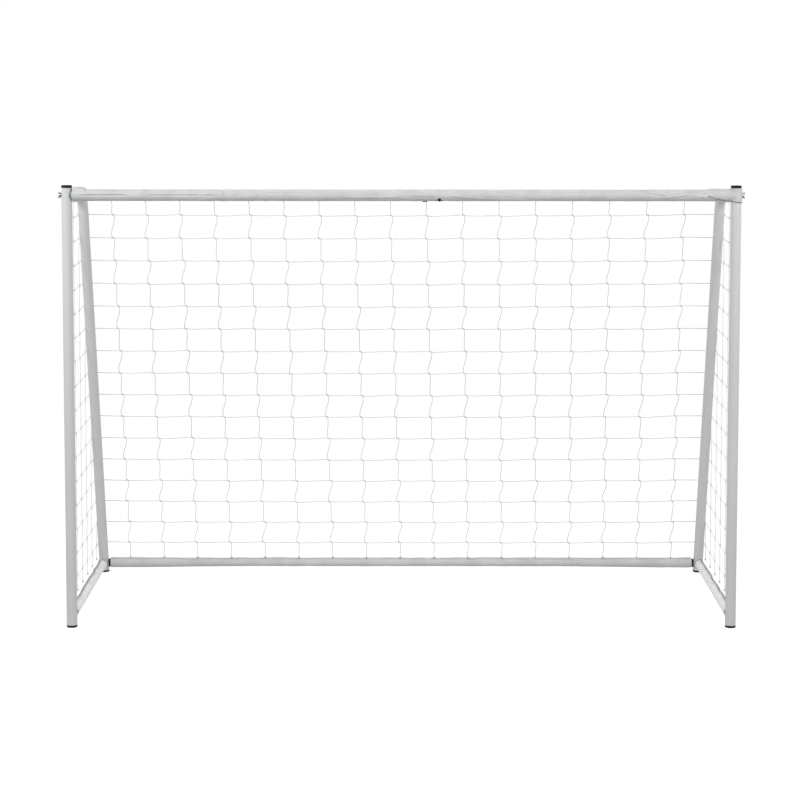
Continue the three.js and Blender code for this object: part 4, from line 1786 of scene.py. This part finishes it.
@dataclass
class BarSleeve:
    """A cloth sleeve round a bar: one sheet, its two long edges sewn together in a fin."""

    name: str
    node: str
    finish: bpy.types.Material
    start: np.ndarray
    end: np.ndarray
    radius: float
    bar_radius: float
    fin: np.ndarray
    front: np.ndarray
    rests_on: tuple[str, ...]
    creases: tuple[Crease | Bunch, ...] = ()
    openings: tuple[Opening, ...] = ()
    swell: float = 0.0
    folds: float = 0.0007
    fin_wave: float = 0.0012
    seed: int = 3
    across: int = 88
    pitch: float = 0.0022
    layer: float = 0.0007
    open_turn: float = 42.0
    neck: float = 1.28
    least_clear: float = 0.0008

    @property
    def way(self) -> np.ndarray:
        """The direction along the bar."""
        return unit(self.end - self.start)

    @property
    def length(self) -> float:
        """The sleeve's length."""
        return float(np.linalg.norm(self.end - self.start))

    def section(self, radius: float) -> np.ndarray:
        """The cloth's line round the bar, from one sewn edge to the other.

        Args:
            radius: The loop's radius.

        Returns:
            (towards the fin, sideways) pairs, evenly spaced.
        """
        reach = float(np.linalg.norm(self.fin))
        turn = np.radians(np.linspace(self.open_turn, 360 - self.open_turn, 60))
        loop = np.stack([radius * np.cos(turn), radius * np.sin(turn)], axis=1)
        neck = radius * self.neck
        halfway = (reach * 0.5 + neck * 0.5, self.layer)
        rise = np.array([(reach, self.layer), halfway, (neck, self.layer * 1.6)])
        fall = rise[::-1] * np.array((1, -1))
        line = resampled(np.vstack([rise, loop, fall]), self.across)
        for _ in range(3):
            line[1:-1] = (line[:-2] + 2 * line[1:-1] + line[2:]) / 4
        return line

    def shaped(self, along: np.ndarray) -> np.ndarray:
        """The sleeve's points.

        Args:
            along: The place of each row along the bar, from the start.

        Returns:
            An array (rows, columns, 3).
        """
        spread = ramp(np.abs(along / self.length - 0.5) * 2, 0.5, 0.96) * self.swell
        thin, wide = self.section(self.radius), self.section(self.radius + self.swell)
        share = (spread / self.swell if self.swell else spread)[:, None, None]
        flat = thin[None] * (1 - share) + wide[None] * share
        first, second = unit(self.fin), np.cross(self.way, unit(self.fin))
        place = self.start + self.way * along[:, None]
        lift, lean = self.relief(flat, along, first, second)
        loop = flat * (1 + lift / np.maximum(np.linalg.norm(flat, axis=2), 1e-6))[..., None]
        tip = lean[:, None] * ramp(flat[..., 0], self.radius * 0.9, self.radius * 1.5)
        return place[:, None] + first * loop[..., :1] + second * (loop[..., 1] + tip)[..., None]

    def relief(self, flat: np.ndarray, along: np.ndarray, first: np.ndarray,
               second: np.ndarray) -> tuple[np.ndarray, np.ndarray]:
        """The folds: how far each point stands off, and how far the fin leans.

        Args:
            flat: The smooth section of each row.
            along: The place of each row.
            first: The direction of the fin.
            second: The direction across it.

        Returns:
            The lift of each point and the lean of each row.
        """
        noise = SmoothNoise(self.seed)
        turned = flat[..., :1] * first + flat[..., 1:] * second
        around = np.arctan2(turned @ UP, turned @ self.front) * CREASE_RADIUS
        down = np.broadcast_to((self.start @ self.way + along)[:, None], around.shape)
        folds = noise.at(down * 46 + 90, around * 95 + 40)
        folds = folds + 0.6 * noise.at(down * 120 + 220, around * 210 + 77)
        folds = folds * (0.65 + 0.6 * noise.at(down * 5 + 30, around * 8 + 13)) * self.folds
        for crease in self.creases:
            folds = folds + crease.relief(down, around)
        for opening in self.openings:
            folds = folds * ramp(opening.nearness(down, around), 1.1, 2.6)
        loop = 1 - ramp(flat[..., 0], self.radius * 0.8, self.radius * 1.2)
        low = self.bar_radius + self.least_clear - np.linalg.norm(flat, axis=2)
        return np.maximum(folds, low) * loop, self.lean(along)

    def lean(self, along: np.ndarray) -> np.ndarray:
        """How far the fin leans sideways at each place along the bar."""
        return self.fin_wave * SmoothNoise(self.seed).at(along * 21 + 50, along * 0 + 60.0) * 2

    def kept(self, along: np.ndarray, around_rows: np.ndarray) -> np.ndarray | None:
        """Which quads stay, with the openings cut out.

        Args:
            along: The place of each row along the bar.
            around_rows: The distance round the bar of each point.

        Returns:
            A mask over the quads, or None if there are no openings.
        """
        if not self.openings:
            return None
        keep = np.ones((around_rows.shape[0] - 1, around_rows.shape[1] - 1), bool)
        for opening in self.openings:
            near = opening.nearness((self.start @ self.way + along)[:, None], around_rows)
            inside = (near[:-1, :-1] + near[1:, :-1] + near[:-1, 1:] + near[1:, 1:]) / 4 < 1
            keep &= ~inside
        return keep

    def build(self) -> bpy.types.Object:
        """Builds the sleeve as a sheet.

        Returns:
            The piece.
        """
        rows = int(self.length / self.pitch)
        along = np.linspace(0, self.length, rows)
        points = self.shaped(along)
        width = float(lengths_along(points[rows // 2]).max())
        away = points - (self.start + self.way * along[:, None])[:, None]
        around = np.arctan2(away @ UP, away @ self.front) * CREASE_RADIUS
        keep = self.kept(along, around)
        draft = Draft()
        draft.grid(points, np.linspace(0, width, self.across), along, closed=False, keep=keep)
        made = draft.piece(self.name, self.finish, Slot.FABRIC, replaces=[self.node], sharp=75)
        return made

    def stitch_rows(self, name: str, thread: bpy.types.Material, reaches: Sequence[float],
                    pitch: float = 0.008, stitch: float = 0.0052, radius: float = 0.0006) -> None:
        """Sews rows of stitches through the fin.

        Args:
            name: The piece's name.
            thread: The thread's finish.
            reaches: Each row's distance from the bar's axis, as a share of the fin's reach.
            pitch: From one stitch to the next.
            stitch: A stitch's length.
            radius: The thread's radius.
        """
        second = np.cross(self.way, unit(self.fin))
        template = Draft()
        line = np.array([(-stitch / 2, 0, -0.0006), (-stitch * 0.42, 0, 0.0004), (0, 0, 0.0006),
                         (stitch * 0.42, 0, 0.0004), (stitch / 2, 0, -0.0006)])
        template.tube(line, radius, STRING_SIDES)
        draft = Draft()
        count = int((self.length - 0.012) / pitch)
        along = 0.006 + pitch * np.arange(count)
        lean = self.lean(along)
        for reach in reaches:
            for face in (1, -1):
                out = second * face
                side = lean[:, None] * second + out * (self.layer * 1.15 + radius * 0.6)
                places = self.start + self.way * along[:, None] + self.fin * reach + side
                turns = np.stack([self.way, np.cross(out, self.way), out], axis=1)
                draft.copies(template, places, np.broadcast_to(turns, (count, 3, 3)))
        draft.piece(name, thread, Slot.FABRIC)


@dataclass
class PostFlap:
    """The loose end of the crossbar's sleeve on the right, wrapped round the front of the post."""

    sizes: GoalSizes
    finishes: Finishes
    start_x: float = 1.08
    radius: float = 0.0216
    wrap: float = math.radians(108)
    top: float = 0.0238
    rows: int = 44
    folds: float = 0.0007
    pinch: float = 0.0013
    pinch_x: float = 1.162
    hem_radius: float = 0.0009
    soft: float = 0.0016

    def lower_edge(self, x: np.ndarray) -> np.ndarray:
        """The height of the flap's lower edge at an x."""
        places = (1.08, 1.109, 1.141, 1.194, 1.203)
        return np.interp(x, places, (1.5495, 1.54, 1.533, 1.527, 1.5265))

    def build(self) -> None:
        """Builds the flap and its dark hem."""
        size, radius = self.sizes, self.radius
        level = np.linspace(self.start_x, size.post_x, 70)
        turn = np.linspace(0, self.wrap, 36)[1:]
        x = np.concatenate([level, size.post_x + radius * np.sin(turn)])
        near_post = np.sqrt(np.maximum(radius**2 - (level - size.post_x) ** 2, 0))
        round_post = np.concatenate([near_post, radius * np.cos(turn)])
        low = self.lower_edge(np.concatenate([level, size.post_x + radius * turn])) - size.crossbar_z
        share = np.linspace(0, 1, self.rows)[:, None]
        z = low * (1 - share) + self.top * share
        round_bar = np.sqrt(np.maximum(radius**2 - z**2, 0))
        reach = self.joined(round_bar, np.broadcast_to(round_post, z.shape), x)
        noise = SmoothNoise(31)
        reach = reach + self.folds * noise.at(x * 80 + 60 + z * 0, z * 140 + 50)
        reach = reach - self.pinch * np.exp(-(((x - self.pinch_x) / 0.0016) ** 2))
        spread = np.broadcast_to(x, z.shape)
        points = np.stack([spread, size.post_y - reach, size.crossbar_z + z], axis=2)
        draft = Draft()
        width = float(lengths_along(points[self.rows // 2]).max())
        height = float(np.mean(np.linalg.norm(np.diff(points, axis=0), axis=2).sum(axis=0)))
        across, upward = np.linspace(0, width, len(x)), np.linspace(0, height, self.rows)
        draft.grid(points, across, upward, closed=False)
        flap = draft.piece("crossbar_sleeve_flap", self.finishes.fabric, Slot.FABRIC, sharp=75)
        hem = Draft()
        edge = points[0] + np.array((0, -0.0004, 0))
        hem.tube(edge, self.hem_radius, ROPE_SIDES)
        sewn = hem.piece("crossbar_sleeve_flap_hem", self.finishes.dark_thread, Slot.FABRIC)

    def joined(self, bar: np.ndarray, post: np.ndarray, x: np.ndarray) -> np.ndarray:
        """How far forward the cloth lies over the bar and the post, whichever stands out more.

        Args:
            bar: The bar's reach at each point.
            post: The post's reach at each point.
            x: The x of each column.

        Returns:
            The cloth's reach.
        """
        bar = bar * (1 - ramp(x, self.sizes.post_x - 0.004, self.sizes.post_x + 0.02))
        blend = np.logaddexp(bar / self.soft, post / self.soft) * self.soft
        return np.where(x > self.sizes.post_x + self.radius * 0.9, post, np.maximum(blend - 0.0003, post))


@dataclass
class NetSleeves:
    """The four sleeves that hold the net on its bars."""

    sizes: GoalSizes
    finishes: Finishes
    creases: tuple[Crease | Bunch, ...] = (
        Bunch(-1.161, -1.123, 0.014, 0.0105),
        Crease(-1.14, 13, -0.96, 13, 0.003, 0.0026),
        Crease(-0.9, 13, -0.64, 13, 0.0025, 0.0026),
        Crease(-0.914, 13, -0.9, 60, 0.0024),
        Crease(-0.75, 60, -0.74, 12, 0.0024),
        Crease(-0.625, 60, -0.63, 0, 0.0024),
        Crease(-0.603, 60, -0.6, 30, 0.0023),
        Crease(-0.216, -16, -0.003, -16, 0.0024, 0.0022),
        Crease(0.018, 2, 0.128, -4, 0.0023, 0.002),
        Crease(0.168, -5, 0.295, -38, 0.0021, 0.0022),
        Crease(0.295, -38, 0.46, -45, 0.0018, 0.0022),
        Crease(0.006, 40, 0.006, -40, 0.0018, 0.0014),
        Crease(0.31, 60, 0.31, -10, 0.0018, 0.0014),
        Crease(0.86, 30, 0.93, 5, 0.0024),
        Crease(0.92, -25, 1.02, 10, 0.0025),
        Crease(0.99, 45, 1.08, 25, 0.0023),
        Crease(1.04, -10, 1.13, -30, 0.0024),
        Crease(-0.5, 40, -0.3, 32, 0.0015, 0.0026),
        Crease(0.5, 30, 0.72, 38, 0.0015, 0.0026),
    )
    crossbar_half: float = 1.1585
    rear_half: float = 1.1535
    side_front: float = 0.062
    side_back: float = 0.812
    fine_stitch: tuple[float, float, float] = (0.0055, 0.0036, 0.0004)

    def build(self) -> None:
        """Builds the sleeves, their stitches and the flap."""
        self.crossbar()
        self.rear()
        for side in Side:
            self.ground(side)
        PostFlap(self.sizes, self.finishes).build()

    def crossbar(self) -> None:
        """Builds the top bar's sleeve."""
        size = self.sizes
        middle = np.array((0.0, size.post_y, size.crossbar_z))
        ovals = (Opening(0.082, -math.pi / 2 * CREASE_RADIUS, 0.0066, 0.005),
                 Opening(0.134, -math.radians(47) * CREASE_RADIUS, 0.0048, 0.0062))
        sleeve = BarSleeve("crossbar_sleeve_cloth", "crossbar_sleeve", self.finishes.fabric,
                           middle - RIGHT * self.crossbar_half, middle + RIGHT * self.crossbar_half,
                           radius=0.0208, bar_radius=size.post_radius, fin=np.array((0.0, 0.034, 0.0145)),
                           front=-BACK, rests_on=("crossbar_left_tube", "crossbar_right_tube"),
                           creases=self.creases, openings=ovals, folds=0.0006, seed=7)
        sleeve.build()
        sleeve.stitch_rows("crossbar_sleeve_stitches", self.finishes.pale_thread, (0.86,), *self.fine_stitch)

    def rear(self) -> None:
        """Builds the rear ground bar's sleeve."""
        size = self.sizes
        middle = np.array((0.0, size.rear_y, size.bar_z))
        sleeve = BarSleeve("rear_bar_sleeve_cloth", "rear_bar_sleeve", self.finishes.fabric,
                           middle - RIGHT * self.rear_half, middle + RIGHT * self.rear_half,
                           radius=0.0141, bar_radius=size.bar_radius, fin=np.array((0.0, 0.0185, 0.0165)),
                           front=-BACK, rests_on=("rear_bar_left_tube", "rear_bar_right_tube"),
                           swell=0.0045, seed=9)
        sleeve.build()
        sleeve.stitch_rows("rear_bar_sleeve_stitches", self.finishes.pale_thread, (0.84,), *self.fine_stitch)

    def ground(self, side: Side) -> None:
        """Builds one side bar's sleeve.

        Args:
            side: Which side.
        """
        size, word = self.sizes, side.word
        start = size.post_base(side) + UP * size.bar_z
        sleeve = BarSleeve(f"{word}_side_sleeve_cloth", f"{word}_side_sleeve", self.finishes.pale_fabric,
                           start + BACK * self.side_front, start + BACK * self.side_back,
                           radius=0.0147, bar_radius=size.bar_radius, fin=side.out * 0.008 + UP * 0.0255,
                           front=side.out, rests_on=(f"{word}_side_bar_tube",), folds=0.0005,
                           seed=13 + side.value)
        sleeve.build()
        stitches = f"{word}_side_sleeve_stitches"
        sleeve.stitch_rows(stitches, self.finishes.thread, (0.93, 0.76), radius=0.0008)


# ---- Parts inside the tubes ----


@dataclass
class InnerParts:
    """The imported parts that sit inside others, kept as they are and given finishes."""

    finishes: Finishes

    def dress(self) -> None:
        """Gives each part its finish."""
        sides = [side.word for side in Side]
        steel = ["crossbar_joiner", "rear_bar_joiner"]
        for word in sides:
            steel += [f"{word}_arm_spigot", f"{word}_front_spigot", f"{word}_corner_side_spigot",
                      f"{word}_corner_rear_spigot"]
        self.paint(steel, self.finishes.steel)
        self.paint([f"{word}_crossbar_nut_plug" for word in sides], self.finishes.nylon)
        self.paint([f"crossbar_spring_{word}" for word in sides], self.finishes.zinc)

    def paint(self, names: Sequence[str], finish: bpy.types.Material) -> None:
        """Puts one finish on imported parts.

        Args:
            names: Their node names.
            finish: The material.
        """
        for name in names:
            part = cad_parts[name]
            part.data.materials.clear()
            part.data.materials.append(finish)
            LOG.info("%s: dressed", name)


# ---- Studio ----


@dataclass
class Studio:
    """The pale floor, the soft lights and the camera."""

    eye: tuple[float, float, float] = (-0.005, -8.03, 2.0)
    lens: float = 97.1
    pitch: float = math.radians(4.885)
    roll: float = math.radians(0.03)
    shift: float = -0.185
    floor: float = 400.0
    key_power: float = 26.0
    spread: float = math.radians(80)
    overhead: float = 0.22
    glow: float = 0.96
    lamp_size: float = 2.4
    sensor: float = 36.0
    lamps: tuple[tuple[tuple[float, float, float], tuple[float, float, float], float], ...] = (
        ((-3.0, -2.5, 3.7), (-0.9, -0.4, 1.6), 1.0),
        ((3.0, -2.5, 3.7), (0.9, -0.4, 1.6), 0.84),
        ((0.0, 1.4, 3.7), (0.0, 0.0, 0.9), 0.35),
    )

    def build(self) -> None:
        """Builds everything round the goal."""
        self.backdrop()
        self.paper()
        for place, target, share in self.lamps:
            self.softbox(place, target, self.key_power * share)
        self.camera()
        bpy.context.scene.view_settings.view_transform = "Standard"

    def backdrop(self) -> None:
        """Lights the scene from all round: white near the horizon, greyer overhead and grey below."""
        world = bpy.data.worlds.new("studio_air")
        world.use_nodes = True
        tree = world.node_tree
        place = tree.nodes.new("ShaderNodeTexCoord")
        split = tree.nodes.new("ShaderNodeSeparateXYZ")
        level = tree.nodes.new("ShaderNodeValToRGB")
        share = tree.nodes.new("ShaderNodeMapRange")
        share.inputs["From Min"].default_value = -1.0
        tree.links.new(place.outputs["Generated"], split.inputs[0])
        tree.links.new(split.outputs[2], share.inputs["Value"])
        tree.links.new(share.outputs[0], level.inputs[0])
        stops = level.color_ramp.elements
        stops[0].position, stops[0].color = 0.44, (0.6, 0.6, 0.6, 1)
        stops[1].position, stops[1].color = 0.48, (1, 1, 1, 1)
        for position, value in ((0.57, 1.0), (0.7, self.overhead)):
            stops.new(position).color = (value, value, value, 1)
        air = tree.nodes["Background"]
        tree.links.new(level.outputs[0], air.inputs["Color"])
        bpy.context.scene.world = world

    def paper(self) -> None:
        """Lays the pale floor."""
        half = self.floor
        mesh = bpy.data.meshes.new("studio_floor")
        corners = [(-half, -half, 0), (half, -half, 0), (half, half, 0), (-half, half, 0)]
        mesh.from_pydata(corners, [], [(0, 1, 2, 3)])
        mesh.materials.append(StudioPaper("studio_paper", self.glow).material())
        floor = bpy.data.objects.new("studio_floor", mesh)
        floor.visible_diffuse = False
        floor.visible_glossy = False
        bpy.context.scene.collection.objects.link(floor)

    def softbox(self, place: tuple[float, float, float], target: tuple[float, float, float],
                power: float) -> None:
        """Hangs one large soft light.

        Args:
            place: Where it hangs.
            target: What it is aimed at.
            power: Its power in watts.
        """
        lamp = bpy.data.lights.new("softbox", "AREA")
        lamp.shape = "DISK"
        lamp.size = self.lamp_size
        lamp.spread = self.spread
        lamp.energy = power
        hung = bpy.data.objects.new("softbox", lamp)
        hung.location = place
        hung.rotation_euler = (Vector(target) - Vector(place)).to_track_quat("-Z", "Y").to_euler()
        bpy.context.scene.collection.objects.link(hung)

    def camera(self) -> None:
        """Places the camera, level with a tall person's eyes and well back."""
        lens = bpy.data.cameras.new("camera")
        lens.lens = self.lens
        lens.sensor_width = self.sensor
        lens.shift_y = self.shift
        seen = bpy.data.objects.new("camera", lens)
        turn = Matrix.Rotation(math.pi / 2 - self.pitch, 3, "X") @ Matrix.Rotation(self.roll, 3, "Z")
        seen.location = self.eye
        seen.rotation_euler = turn.to_euler()
        bpy.context.scene.collection.objects.link(seen)
        bpy.context.scene.camera = seen


def main() -> None:
    """Builds the goal's sub-assemblies in order, then the studio."""
    logging.basicConfig(level=logging.INFO, format="%(name)s: %(message)s")
    finishes = Finishes()
    sizes = GoalSizes.from_frame()
    for side in Side:
        SideFrame(sizes, side, finishes).build()
        WingBolt(sizes, side, finishes).build()
    Crossbar(sizes, finishes).build()
    RearBar(sizes, finishes).build()
    maker = NetMaker(sizes, finishes)
    BackNet(maker).build()
    for side in Side:
        SideNet(maker, side).build()
    NetSleeves(sizes, finishes).build()
    InnerParts(finishes).dress()
    Studio().build()


if __name__ == "__main__":
    main()
